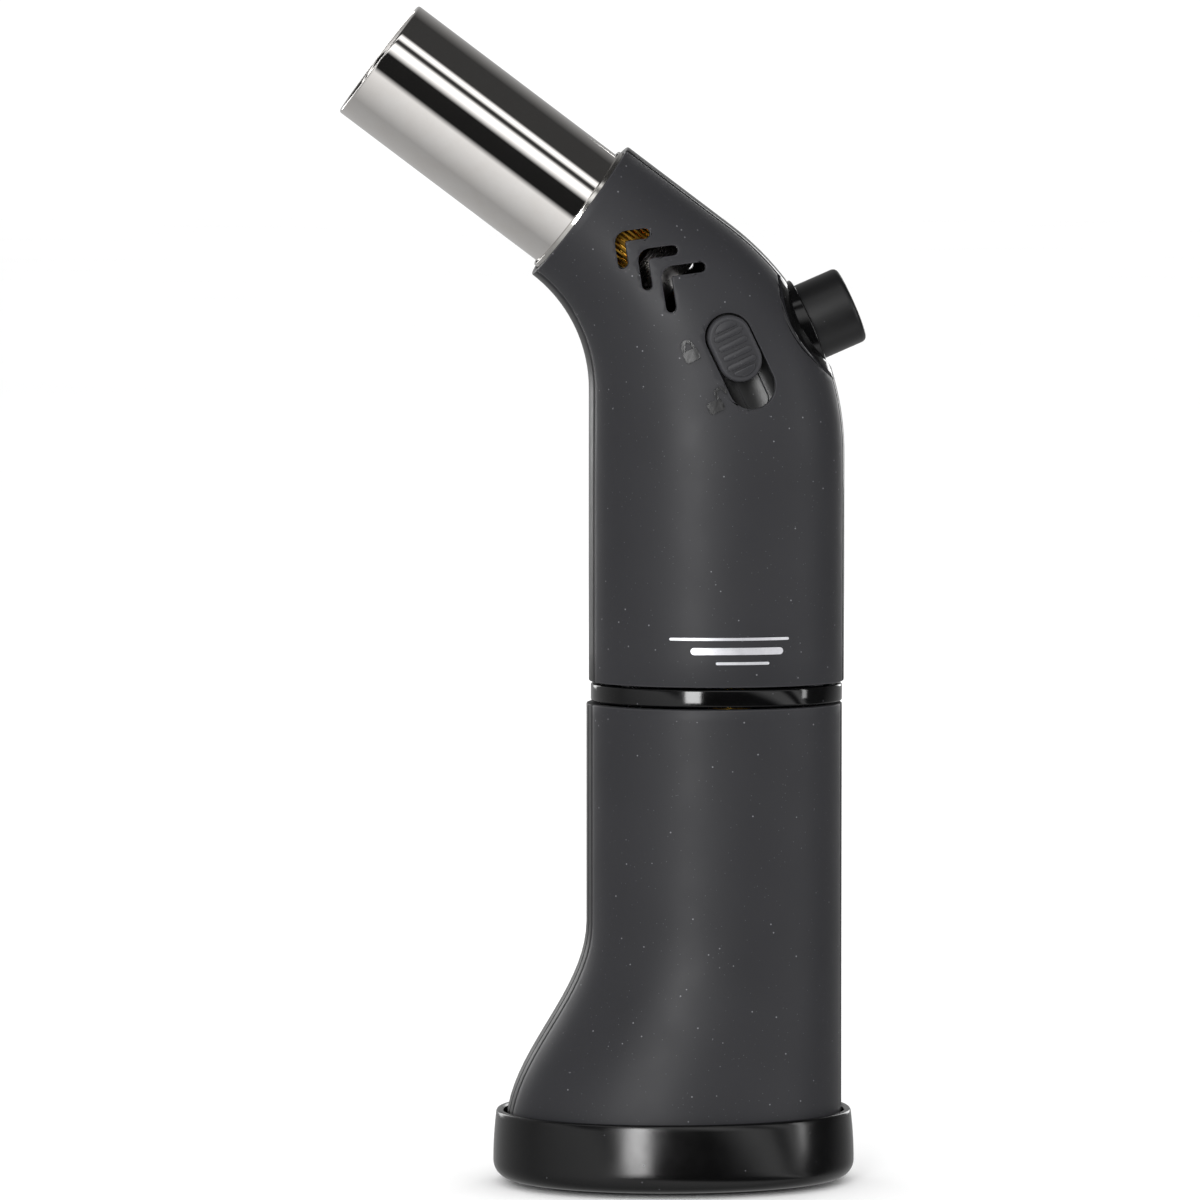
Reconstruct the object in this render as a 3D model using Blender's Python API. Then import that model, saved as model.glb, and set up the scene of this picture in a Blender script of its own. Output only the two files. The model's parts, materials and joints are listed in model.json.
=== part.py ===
"""Butane table torch: an angled burner tube on an upright grip with a wide base.

Frame: +Z up, the burner tube points toward -X, the side with the lock slider
faces -Y, and the rubber foot rests on z = 0.  Metres throughout.
"""
import math

import bmesh
import bpy
import numpy as np
from mathutils import Matrix, Vector

MM = 0.001

# ---- clearances -----------------------------------------------------------
GAP = 0.3 * MM                 # between touching pieces
RUN = 0.35 * MM                # radial clearance of a sliding piece

# ---- overall sizes --------------------------------------------------------
GRIP_FRONT_X = -19.1 * MM      # front and back of the straight grip
GRIP_BACK_X = 19.2 * MM
GRIP_HALF_DEPTH = 16.0 * MM    # half of the grip across Y
GRIP_SQUARENESS = 2.1          # superellipse exponent of the grip's section
COLLAR_X = -20.5 * MM          # centre of the collar's face
COLLAR_Z = 145.9 * MM
BURNER_TILT = math.radians(37.0)   # burner axis above the horizontal
NOSE_RADIUS = 21.5 * MM        # concave bend under the collar
BACK_RADIUS = 43.0 * MM        # convex bend behind the collar
FAN_START_Z = 103.0 * MM       # above this the sections fan toward the collar
STRIP_HALF_WIDTH = 4.0 * MM    # spine strips between the side shells
WALL = 1.8 * MM                # shell wall
COLLAR_WALL = 1.1 * MM         # shell wall at the collar, where the burner tube leaves

# ---- band between the upper and lower shells ------------------------------
BAND_BOTTOM_Z = 72.5 * MM
BAND_HEIGHT = 2.7 * MM
BAND_PROUD = 0.25 * MM         # band inset from the shells around it
LOWER_STEP = 0.35 * MM         # lower shells stand out past the upper ones in front
LOWER_SETBACK = 0.3 * MM       # and stay behind them at the back

# ---- boot and base --------------------------------------------------------
TOE_X = -31.6 * MM             # front of the boot at its bottom
FLARE_TOP_Z = 39.5 * MM
FLARE_BOTTOM_Z = 8.0 * MM
BOOT_HALF_DEPTH = 19.2 * MM
RING_CLEARANCE = 0.4 * MM      # open line between the boot and the ring
RING_WALL = 1.0 * MM           # ring's top edge
RING_LEAN = 0.5 * MM           # the belly stands out past the top edge
RING_ROUND = 2.6 * MM          # bottom edge rounds in by this much
RING_TOP_Z = 11.0 * MM
RING_BOTTOM_Z = 0.7 * MM
BASE_PLATE_Z = 1.7 * MM        # underside of the base plate
BASE_PLATE_THICK = 2.2 * MM
FOOT_WIDTH = 2.6 * MM          # width of the rubber foot's track
FOOT_RIB = 3.2 * MM            # width of the foot's cross rib, under the grip's axis

# ---- burner ---------------------------------------------------------------
TUBE_RADIUS = 9.85 * MM
TUBE_WALL = 0.8 * MM
TUBE_LENGTH_OUT = 37.5 * MM    # from the collar's face to the mouth
TUBE_LENGTH_IN = 4.5 * MM      # inside the housing
SEAT_RING_THICK = 0.4 * MM
SEAT_RING_PLAY = 0.25 * MM      # between the seat ring and the collar
KNURL_LENGTH = 6.0 * MM
KNURL_TEETH = 30
KNURL_DEPTH = 0.45 * MM
SPIGOT_LENGTH = 6.0 * MM       # fitting's spigot inside the tube
MIXER_RADIUS = 3.4 * MM
MIXER_BORE = 2.4 * MM
HOLDER_AT = 10.0 * MM          # flame holder's rear face, out from the collar
HOLDER_THICK = 2.5 * MM
BURNER_BODY_RADIUS = 4.8 * MM
BURNER_BODY_LENGTH = 7.0 * MM
JET_RADIUS = 1.9 * MM
JET_LENGTH = 4.0 * MM          # behind the burner body
INSULATOR_RADIUS = 1.1 * MM
INSULATOR_OFFSET = 6.2 * MM    # below the burner axis

# ---- ignition button ------------------------------------------------------
BUTTON_TILT = math.radians(23.5)
BUTTON_X = 13.15 * MM          # where the button's axis leaves the housing
BUTTON_Z = 128.8 * MM
BUTTON_RADIUS = 5.9 * MM
BUTTON_OUT = 7.8 * MM
BUTTON_IN = 7.0 * MM
BUTTON_FLANGE = 1.5 * MM       # flange thickness, and its extra radius
BUTTON_TRAVEL = 5.0 * MM
PUSHER_OFFSET = 6.4 * MM       # pusher rod below the button's axis
PUSHER_HALF = 0.9 * MM
PIEZO_FRONT = 14.8 * MM        # piezo body's near end, inward of the housing
PIEZO_LENGTH = 14.0 * MM
PIEZO_HALF_HEIGHT = 4.2 * MM
PIEZO_HALF_WIDTH = 3.75 * MM
PLUNGER_RADIUS = 2.0 * MM

# ---- gas lever and valve: the lever's pivot hangs off the button's axis ----
LEVER_BEHIND = 10.8 * MM       # arm's tip, inward of the piezo's near end
LEVER_LONG_ARM = 14.5 * MM
LEVER_SHORT_ARM = 4.0 * MM
LEVER_THICK = 2.2 * MM
VALVE_RADIUS = 3.4 * MM
STEM_RADIUS = 0.9 * MM

# ---- lock slider ----------------------------------------------------------
LOCK_TOP_X = 0.7 * MM          # end-arc centres of the slot, on the near side
LOCK_TOP_Z = 127.3 * MM
LOCK_LOW_X = 4.05 * MM
LOCK_LOW_Z = 120.2 * MM
LOCK_SLOT_WIDTH = 7.1 * MM
SLIDER_LENGTH = 10.2 * MM
SLIDER_PROUD = 1.0 * MM

# ---- tank and fill valve --------------------------------------------------
TANK_WALL = 1.5 * MM
TANK_BOTTOM_Z = 14.0 * MM
TANK_TOP_Z = 67.5 * MM
LID_THICK = 2.0 * MM
FILL_X = -6.0 * MM
FILL_RADIUS = 3.3 * MM
FILL_TOP_Z = 20.0 * MM
DIAL_X = -19.0 * MM
DIAL_RADIUS = 6.0 * MM
DIAL_THICK = 2.4 * MM

# ---- mesh fineness --------------------------------------------------------
ARC_STEPS = 14                 # faces around one side shell
RING_STEPS = 18                # faces around one side of the band and the base
ROUND_STEPS = 32               # faces around a large turned piece
SMALL_STEPS = 12               # faces around a small turned piece

for leftover in list(bpy.data.objects):
    bpy.data.objects.remove(leftover, do_unlink=True)


# ---------------------------------------------------------------------------
# materials
# ---------------------------------------------------------------------------
def material(name, colour, roughness, metallic=0.0):
    made = bpy.data.materials.get(name)
    if made is None:
        made = bpy.data.materials.new(name)
        made.use_nodes = True
        shader = made.node_tree.nodes["Principled BSDF"]
        shader.inputs["Base Color"].default_value = (*colour, 1.0)
        shader.inputs["Roughness"].default_value = roughness
        shader.inputs["Metallic"].default_value = metallic
        made.diffuse_color = (*colour, 1.0)
    return made


def soft_touch():
    return material("soft_touch", (0.045, 0.045, 0.05), 0.6)


def gloss_black():
    return material("gloss_black", (0.012, 0.012, 0.013), 0.15)


def satin_black():
    return material("satin_black", (0.02, 0.02, 0.022), 0.35)


def dark_chrome():
    return material("dark_chrome", (0.5, 0.5, 0.51), 0.08, 1.0)


def steel():
    return material("steel", (0.55, 0.55, 0.56), 0.28, 1.0)


def brass():
    return material("brass", (0.6, 0.42, 0.16), 0.3, 1.0)


def rubber():
    return material("rubber", (0.03, 0.03, 0.03), 0.8)


def ceramic():
    return material("ceramic", (0.8, 0.78, 0.72), 0.5)


def tank_plastic():
    return material("tank_plastic", (0.55, 0.58, 0.6), 0.3)


def inner_plastic():
    return material("inner_plastic", (0.1, 0.1, 0.11), 0.5)


def piezo_plastic():
    return material("piezo_plastic", (0.02, 0.05, 0.12), 0.4)


def lead_cover():
    return material("lead_cover", (0.5, 0.05, 0.03), 0.5)


# ---------------------------------------------------------------------------
# building blocks
# ---------------------------------------------------------------------------
def finish(name, work, look, origin=(0.0, 0.0, 0.0), smooth=math.radians(35.0)):
    """Turn a bmesh in world coordinates into an object with its origin on its axis."""
    bmesh.ops.remove_doubles(work, verts=work.verts, dist=1e-7)
    bmesh.ops.recalc_face_normals(work, faces=work.faces)
    mesh = bpy.data.meshes.new(name)
    work.transform(Matrix.Translation(-Vector(origin)))
    work.to_mesh(mesh)
    work.free()
    mesh.shade_smooth()
    mesh.set_sharp_from_angle(angle=smooth)
    made = bpy.data.objects.new(name, mesh)
    made.location = origin
    bpy.context.scene.collection.objects.link(made)
    if look is not None:
        mesh.materials.append(look)
    return made


def combine(target, tool, operation):
    """Apply a Boolean of tool to target, and remove the tool."""
    change = target.modifiers.new(operation.lower(), "BOOLEAN")
    change.operation = operation
    change.solver = "EXACT"
    change.object = tool
    bpy.context.view_layer.update()
    shaped = target.evaluated_get(bpy.context.evaluated_depsgraph_get())
    mesh = bpy.data.meshes.new_from_object(shaped)
    target.modifiers.clear()
    target.data = mesh
    bpy.data.objects.remove(tool, do_unlink=True)
    return target


def cut(target, *tools):
    for tool in tools:
        combine(target, tool, "DIFFERENCE")
    return target


def join(target, *tools):
    for tool in tools:
        combine(target, tool, "UNION")
    return target


def axes(direction):
    """Rotation whose local +Z is the direction, with local +Y across the torch where it can be."""
    along = Vector(direction).normalized()
    across = Vector((0.0, 1.0, 0.0)) if abs(along.y) < 0.9 else Vector((0.0, 0.0, 1.0))
    side = across.cross(along).normalized()
    return Matrix((side, along.cross(side), along)).transposed().to_4x4()


def placed(work, point, direction):
    work.transform(Matrix.Translation(Vector(point)) @ axes(direction))
    return work


def turned(name, profile, look, point=(0, 0, 0), direction=(0, 0, 1), steps=ROUND_STEPS, origin=None):
    """Closed outline of (radius, height) pairs, turned about the axis through point."""
    work = bmesh.new()
    rings = []
    for radius, height in profile:
        if radius < 1e-9:
            rings.append([work.verts.new((0.0, 0.0, height))])
            continue
        turn = [2.0 * math.pi * k / steps for k in range(steps)]
        rings.append([work.verts.new((radius * math.cos(a), radius * math.sin(a), height)) for a in turn])
    for index, ring in enumerate(rings):
        after = rings[(index + 1) % len(rings)]
        if len(ring) == 1 and len(after) == 1:
            continue
        for k in range(steps):
            corners = [ring[k % len(ring)], ring[(k + 1) % len(ring)],
                       after[(k + 1) % len(after)], after[k % len(after)]]
            work.faces.new(list(dict.fromkeys(corners)))
    placed(work, point, direction)
    return finish(name, work, look, origin if origin is not None else point)


def rod(radius, low, high):
    return [(0.0, low), (radius, low), (radius, high), (0.0, high)]


def pipe(outer, inner, low, high):
    return [(inner, low), (outer, low), (outer, high), (inner, high)]


def box(name, low, high, look, point=(0, 0, 0), direction=(0, 0, 1), origin=None):
    """Block between two corners in the local axes of a direction."""
    work = bmesh.new()
    bmesh.ops.create_cube(work, size=1.0)
    size = Vector(high) - Vector(low)
    middle = (Vector(high) + Vector(low)) / 2.0
    work.transform(Matrix.Translation(middle) @ Matrix.Diagonal((*size, 1.0)))
    placed(work, point, direction)
    return finish(name, work, look, origin if origin is not None else point)


def prism(name, outline, low_y, high_y, look, origin=(0, 0, 0)):
    """Outline of (x, z) points extruded across Y."""
    work = bmesh.new()
    near = [work.verts.new((x, low_y, z)) for x, z in outline]
    far = [work.verts.new((x, high_y, z)) for x, z in outline]
    work.faces.new(near)
    work.faces.new(list(reversed(far)))
    for k in range(len(outline)):
        after = (k + 1) % len(outline)
        work.faces.new([near[k], near[after], far[after], far[k]])
    return finish(name, work, look, origin)


def skin(name, rings, look, origin=(0, 0, 0)):
    """Closed solid through rings of matching points, with both ends capped."""
    work = bmesh.new()
    loops = [[work.verts.new(p) for p in ring] for ring in rings]
    for before, after in zip(loops, loops[1:]):
        for k in range(len(before)):
            follow = (k + 1) % len(before)
            work.faces.new([before[k], before[follow], after[follow], after[k]])
    work.faces.new(list(reversed(loops[0])))
    work.faces.new(loops[-1])
    return finish(name, work, look, origin)


def cord(name, route, radius, look, spacing=2.5):
    """Round cord along a smooth curve through the route's points."""
    points = [Vector(p) for p in route]
    points = [2 * points[0] - points[1]] + points + [2 * points[-1] - points[-2]]
    smooth = []
    for a, b, c, d in zip(points, points[1:], points[2:], points[3:]):
        steps = max(2, round((c - b).length / (spacing * 2.0 * radius)))
        for k in range(steps):
            t = k / steps
            smooth.append(0.5 * (2 * b + (c - a) * t + (2 * a - 5 * b + 4 * c - d) * t ** 2
                                 + (3 * b - a - 3 * c + d) * t ** 3))
    smooth.append(points[-2])
    curve = bpy.data.curves.new(name, "CURVE")
    curve.dimensions = "3D"
    line = curve.splines.new("POLY")
    line.points.add(len(smooth) - 1)
    for slot, where in zip(line.points, smooth):
        slot.co = (*where, 1.0)
    curve.bevel_depth = radius
    curve.bevel_resolution = 2
    curve.use_fill_caps = True
    curve.materials.append(look)
    made = bpy.data.objects.new(name, curve)
    bpy.context.scene.collection.objects.link(made)
    return made


def coil(name, radius, wire, low, high, turns, look, point, direction):
    """Helical spring with its axis through point."""
    work = bmesh.new()
    around = 5
    count = int(turns * 10)
    rings = []
    for k in range(count + 1):
        angle = 2.0 * math.pi * turns * k / count
        height = low + wire + (high - low - 2.0 * wire) * k / count
        out = Vector((math.cos(angle), math.sin(angle), 0.0))
        ring = []
        for j in range(around):
            turn = 2.0 * math.pi * j / around
            ring.append(out * (radius + wire * math.cos(turn)) + Vector((0, 0, height + wire * math.sin(turn))))
        rings.append([work.verts.new(p) for p in ring])
    for before, after in zip(rings, rings[1:]):
        for j in range(around):
            follow = (j + 1) % around
            work.faces.new([before[j], before[follow], after[follow], after[j]])
    work.faces.new(list(reversed(rings[0])))
    work.faces.new(rings[-1])
    placed(work, point, direction)
    return finish(name, work, look, point)


# ---------------------------------------------------------------------------
# guiding geometry
# ---------------------------------------------------------------------------
OUT = Vector((-math.cos(BURNER_TILT), 0.0, math.sin(BURNER_TILT)))     # along the burner
RISE = Vector((math.sin(BURNER_TILT), 0.0, math.cos(BURNER_TILT)))     # across it, upward
COLLAR = Vector((COLLAR_X, 0.0, COLLAR_Z))
PUSH_OUT = Vector((math.cos(BUTTON_TILT), 0.0, math.sin(BUTTON_TILT)))
PUSH_RISE = Vector((-math.sin(BUTTON_TILT), 0.0, math.cos(BUTTON_TILT)))
BUTTON = Vector((BUTTON_X, 0.0, BUTTON_Z))
BAND_TOP_Z = BAND_BOTTOM_Z + BAND_HEIGHT
COLLAR_RADIUS = TUBE_RADIUS + GAP + SEAT_RING_THICK + SEAT_RING_PLAY + COLLAR_WALL
LEVER_REACH = PIEZO_FRONT + LEVER_BEHIND


def burner_point(out, rise=0.0, y=0.0):
    return COLLAR + OUT * out + RISE * rise + Vector((0.0, y, 0.0))


def button_point(inward, rise=0.0, y=0.0):
    return BUTTON - PUSH_OUT * inward + PUSH_RISE * rise + Vector((0.0, y, 0.0))


LEVER = button_point(LEVER_REACH, -(PUSHER_OFFSET + LEVER_LONG_ARM))
VALVE_X = LEVER.x + LEVER_SHORT_ARM


def bend_path(start_x, radius, concave, corner):
    """Upright run, arc and straight run that end at the collar's corner; returns length and a lookup."""
    sense = -1.0 if concave else 1.0
    centre_x = start_x - radius
    turn = math.pi / 2.0 - BURNER_TILT
    centre_z = (corner.dot(RISE) - radius - centre_x * RISE.x) / RISE.z
    upright = centre_z - FAN_START_Z
    arc_end = Vector((centre_x, 0.0, centre_z)) + RISE * radius
    straight = (corner - arc_end).dot(OUT)
    total = upright + radius * turn + straight

    def where(share):
        run = share * total
        if run <= upright:
            return Vector((start_x, 0.0, FAN_START_Z + run))
        if run <= upright + radius * turn:
            angle = (run - upright) / radius
            return Vector((centre_x + radius * math.cos(angle), 0.0, centre_z + radius * math.sin(angle)))
        return arc_end + OUT * (run - upright - radius * turn)

    return where


front_path = bend_path(GRIP_FRONT_X, NOSE_RADIUS, True, COLLAR - RISE * COLLAR_RADIUS)
back_path = bend_path(GRIP_BACK_X, BACK_RADIUS, False, COLLAR + RISE * COLLAR_RADIUS)


def ease(share):
    share = min(max(share, 0.0), 1.0)
    return (1.0 - math.cos(math.pi * share)) / 2.0


def grip_station(z, lower=False):
    """Level section of the grip or the boot: front, back, half depth and squareness."""
    flare = ease((FLARE_TOP_Z - z) / (FLARE_TOP_Z - FLARE_BOTTOM_Z))
    front = GRIP_FRONT_X - LOWER_STEP * lower
    depth = GRIP_HALF_DEPTH + LOWER_STEP * lower / 2.0
    front += (TOE_X - front) * flare
    depth += (BOOT_HALF_DEPTH - depth) * flare
    return Vector((front, 0.0, z)), Vector((GRIP_BACK_X - LOWER_SETBACK * lower, 0.0, z)), depth, GRIP_SQUARENESS


def fan_station(share):
    """Section of the housing between the grip (share 0) and the collar (share 1)."""
    blend = ease(share)
    depth = GRIP_HALF_DEPTH + (COLLAR_RADIUS - GRIP_HALF_DEPTH) * blend
    square = GRIP_SQUARENESS + (2.0 - GRIP_SQUARENESS) * blend
    return front_path(share), back_path(share), depth, square


def upper_stations():
    levels = np.linspace(BAND_TOP_Z + GAP, FAN_START_Z, 3)[:-1]
    return [grip_station(z) for z in levels] + [fan_station(s) for s in np.linspace(0.0, 1.0, 17)]


def upper_wall(index, count):
    return WALL + (COLLAR_WALL - WALL) * ease(index / (count - 1))


def lower_levels(bottom, top):
    flare = [z for z in np.linspace(FLARE_BOTTOM_Z, FLARE_TOP_Z, 11) if bottom < z < top]
    return [bottom] + flare + [top]


def on_section(station, inset, y):
    """Distance from the section's centre to its outline at a given y."""
    front, back, depth, square = station
    across = (back - front).length / 2.0 - inset
    share = min(abs(y) / (depth - inset), 1.0)
    return across * (1.0 - share ** square) ** (1.0 / square)


def section_point(station, along, y):
    front, back = station[0], station[1]
    return (front + back) / 2.0 + (back - front).normalized() * along + Vector((0.0, y, 0.0))


def side_arc(station, inset, edge, side, steps=ARC_STEPS):
    """Outline from front to back on one side, starting and ending at |y| = edge."""
    front, back, depth, square = station
    across = (back - front).length / 2.0 - inset
    deep = depth - inset
    start = math.asin((edge / deep) ** (square / 2.0))
    points = []
    for angle in np.linspace(math.pi - start, start, steps + 1):
        along = math.copysign(abs(math.cos(angle)) ** (2.0 / square), math.cos(angle)) * across
        points.append(section_point(station, along, side * math.sin(angle) ** (2.0 / square) * deep))
    return points


def full_ring(station, inset, steps=RING_STEPS):
    near = side_arc(station, inset, 0.0, -1.0, steps)
    far = side_arc(station, inset, 0.0, 1.0, steps)
    return near[:-1] + list(reversed(far[1:]))


def strip_ring(station, inner, outer, half, end, steps=6):
    """Slice of wall across the front (end = -1) or back (end = 1) spine."""
    widths = np.linspace(-half, half, steps + 1)
    skin_points = [section_point(station, end * on_section(station, outer, y), y) for y in widths]
    inside = [section_point(station, end * on_section(station, inner, y), y) for y in widths]
    return skin_points + list(reversed(inside))


def half_depth_at(x, z):
    """How far the housing's near side stands out from the middle plane at (x, z)."""
    best = min(np.linspace(0.0, 1.0, 400),
               key=lambda s: abs((Vector((x, 0.0, z)) - front_path(s)).cross(
                   (back_path(s) - front_path(s)).normalized()).length))
    station = fan_station(best)
    centre = (station[0] + station[1]) / 2.0
    across = (station[1] - station[0]).length / 2.0
    along = (Vector((x, 0.0, z)) - centre).length
    return station[2] * (1.0 - (along / across) ** station[3]) ** (1.0 / station[3])


# ---------------------------------------------------------------------------
# housing
# ---------------------------------------------------------------------------
EDGE = STRIP_HALF_WIDTH + GAP / 2.0
STRIP = STRIP_HALF_WIDTH - GAP / 2.0
SURROUND_RADIUS = BUTTON_RADIUS + 3.4 * MM
BUTTON_COLLAR_OUTER = BUTTON_RADIUS + RUN + 0.7 * MM
VENT_FIRST = 6.4 * MM
VENT_PITCH = 4.3 * MM
VENT_SPAN = 2.7 * MM
VENT_GROWTH = 0.5 * MM
VENT_WIDTH = 1.5 * MM
LOCK_TOP = Vector((LOCK_TOP_X, 0.0, LOCK_TOP_Z))
LOCK_LOW = Vector((LOCK_LOW_X, 0.0, LOCK_LOW_Z))
LOCK_ALONG = (LOCK_LOW - LOCK_TOP).normalized()
LOCK_DEPTH = half_depth_at((LOCK_TOP_X + LOCK_LOW_X) / 2.0, (LOCK_TOP_Z + LOCK_LOW_Z) / 2.0)


def flat_slot(path, width, arc=6):
    """Outline in (x, z) of a slot of constant width along a path, with round ends."""
    half = width / 2.0
    sides = {1.0: [], -1.0: []}
    for index, point in enumerate(path):
        before = (point - path[index - 1]).normalized() if index else None
        after = (path[index + 1] - point).normalized() if index + 1 < len(path) else None
        tangent = ((before or after) + (after or before)).normalized()
        normal = Vector((-tangent.z, 0.0, tangent.x))
        stretch = half / (tangent.dot(before or after))
        for side in sides:
            sides[side].append(point + normal * side * stretch)
    outline = list(sides[1.0])
    for end, inner, first in ((path[-1], path[-2], 90.0), (path[0], path[1], 90.0)):
        tangent = (end - inner).normalized()
        normal = Vector((-tangent.z, 0.0, tangent.x))
        turns = [math.radians(first - 180.0 * k / arc) for k in range(1, arc)]
        outline += [end + (tangent * math.cos(a) + normal * math.sin(a)) * half for a in turns]
        if end is path[-1]:
            outline += list(reversed(sides[-1.0]))
    return [(p.x, p.z) for p in outline]


def button_cylinder(radius, inward, outward):
    return turned("tool", rod(radius, -inward, outward), None, BUTTON, PUSH_OUT)


def vent_tool(index, side):
    elbow = -(VENT_FIRST + index * VENT_PITCH)
    span = VENT_SPAN + index * VENT_GROWTH
    path = [burner_point(elbow - span, span), burner_point(elbow), burner_point(elbow - span, -span)]
    reach = sorted((side * 4.0 * MM, side * (GRIP_HALF_DEPTH + 5.0 * MM)))
    return prism("tool", flat_slot(path, VENT_WIDTH), *reach, None)


def upper_shell(name, side):
    stations = upper_stations()
    rings = []
    for index, station in enumerate(stations):
        inner = upper_wall(index, len(stations))
        outside = side_arc(station, 0.0, EDGE, side)
        rings.append(outside + list(reversed(side_arc(station, inner, EDGE, side))))
    shell = skin(name, rings, soft_touch())
    cut(shell, button_cylinder(SURROUND_RADIUS + GAP, 12.0 * MM, 12.0 * MM))
    for index in range(3):
        cut(shell, vent_tool(index, side))
    return shell


def slider_slot_tool(width, low_y, high_y):
    """Stadium-shaped cutter along the slider's travel."""
    return prism("tool", flat_slot([LOCK_TOP, LOCK_LOW], width), low_y, high_y, None)


def upper_shells():
    near = upper_shell("upper_shell_near", -1.0)
    seat = LOCK_SLOT_WIDTH + 2.0 * (GUIDE_LAP + GAP)
    tool = slider_slot_tool(LOCK_SLOT_WIDTH, -GRIP_HALF_DEPTH - 5.0 * MM, -LOCK_DEPTH + 5.0 * MM)
    join(tool, slider_slot_tool(seat, -LOCK_DEPTH + CAP_DEEP, -LOCK_DEPTH + 7.0 * MM))
    cut(near, tool)
    upper_shell("upper_shell_far", 1.0)


def lower_shell(name, side):
    rings = []
    for z in lower_levels(FLARE_BOTTOM_Z, BAND_BOTTOM_Z - GAP):
        station = grip_station(z, True)
        rings.append(side_arc(station, 0.0, EDGE, side) + list(reversed(side_arc(station, WALL, EDGE, side))))
    return skin(name, rings, soft_touch())


def lower_spine(name, end):
    rings = [strip_ring(grip_station(z, True), WALL, 0.0, STRIP, end)
             for z in lower_levels(FLARE_BOTTOM_Z, BAND_BOTTOM_Z - GAP)]
    return skin(name, rings, satin_black())


def upper_spines():
    stations = upper_stations()
    walls = [upper_wall(index, len(stations)) for index in range(len(stations))]
    front = [strip_ring(s, w, 0.0, STRIP, -1.0) for s, w in zip(stations, walls)]
    skin("upper_spine_front", front, gloss_black())
    wide = [strip_ring(s, w, 0.0, SURROUND_RADIUS + GAP, 1.0, 12) for s, w in zip(stations, walls)]
    back = skin("upper_spine_back", wide, gloss_black())
    reach = 200.0 * MM
    keep = box("tool", (-reach, -STRIP, -reach), (reach, STRIP, reach), None)
    join(keep, button_cylinder(SURROUND_RADIUS, 12.0 * MM, 12.0 * MM))
    combine(back, keep, "INTERSECT")
    cut(back, button_cylinder(BUTTON_COLLAR_OUTER + GAP, 15.0 * MM, 15.0 * MM))


def band_and_deck():
    """Glossy band between the shells, and the deck plate inside it."""
    inset = BAND_PROUD
    band_wall = WALL
    rings = []
    for z, lean in ((BAND_BOTTOM_Z, 0.25 * MM), (BAND_BOTTOM_Z + 0.4 * MM, 0.0),
                    (BAND_TOP_Z - 0.4 * MM, 0.0), (BAND_TOP_Z, 0.25 * MM)):
        rings.append(full_ring(grip_station(z), inset + lean))
    band = skin("trim_band", rings, gloss_black())
    hollow = [full_ring(grip_station(z), inset + band_wall) for z in (BAND_BOTTOM_Z - MM, BAND_TOP_Z + MM)]
    cut(band, skin("tool", hollow, None))
    deck_levels = (BAND_BOTTOM_Z + GAP, BAND_TOP_Z - GAP)
    deck = skin("mid_deck", [full_ring(grip_station(z), inset + band_wall + GAP) for z in deck_levels],
                inner_plastic())
    valve_hole = rod(VALVE_RADIUS + GAP, BAND_BOTTOM_Z - MM, BAND_TOP_Z + MM)
    cut(deck, turned("tool", valve_hole, None, (VALVE_X, 0.0, 0.0), steps=SMALL_STEPS))
    for x, y in deck_screw_places():
        hole = rod(SCREW_RADIUS + GAP / 2.0, BAND_BOTTOM_Z - MM, BAND_TOP_Z + MM)
        cut(deck, turned("tool", hole, None, (x, y, 0.0), steps=SMALL_STEPS))


SCREW_RADIUS = 1.1 * MM
SCREW_HEAD_RADIUS = 2.1 * MM
SCREW_HEAD_HEIGHT = 1.3 * MM


def deck_screw_places():
    return [(GRIP_FRONT_X + 6.5 * MM, -4.0 * MM), (GRIP_BACK_X - 5.5 * MM, -4.0 * MM)]


def screw(name, x, y, head_z, length, up):
    """Pan-head screw with a cross recess; up is the side its head faces."""
    profile = [(0.0, -length), (SCREW_RADIUS * 0.6, -length), (SCREW_RADIUS, -length + SCREW_RADIUS),
               (SCREW_RADIUS, 0.0), (SCREW_HEAD_RADIUS, 0.0), (SCREW_HEAD_RADIUS, SCREW_HEAD_HEIGHT * 0.6),
               (SCREW_HEAD_RADIUS * 0.8, SCREW_HEAD_HEIGHT), (0.0, SCREW_HEAD_HEIGHT)]
    made = turned(name, profile, steel(), (x, y, head_z), (0.0, 0.0, up), SMALL_STEPS)
    for wide, deep in ((1.1, 0.25), (0.25, 1.1)):
        blade = box("tool", (-wide * MM, -deep * MM, SCREW_HEAD_HEIGHT - 0.6 * MM),
                    (wide * MM, deep * MM, SCREW_HEAD_HEIGHT + MM), None, (x, y, head_z), (0.0, 0.0, up))
        cut(made, blade)
    return made


# ---------------------------------------------------------------------------
# base
# ---------------------------------------------------------------------------
RING_REACH = RING_CLEARANCE + RING_WALL + RING_LEAN     # ring's belly past the boot


def ring_station(z):
    front = Vector((TOE_X - RING_REACH, 0.0, z))
    back = Vector((GRIP_BACK_X - LOWER_SETBACK + RING_REACH, 0.0, z))
    return front, back, BOOT_HALF_DEPTH + RING_REACH, GRIP_SQUARENESS


def ring_inset(z):
    """Bulged side of the base ring: round at the bottom, leaning in at the top."""
    low = min(max((RING_BOTTOM_Z + RING_ROUND - z) / RING_ROUND, 0.0), 1.0)
    rounded = RING_ROUND * (1.0 - math.sqrt(1.0 - low ** 2))
    belly = RING_BOTTOM_Z + RING_ROUND
    high = max((z - belly) / (RING_TOP_Z - belly), 0.0)
    return rounded + RING_LEAN * high ** 2


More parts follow.
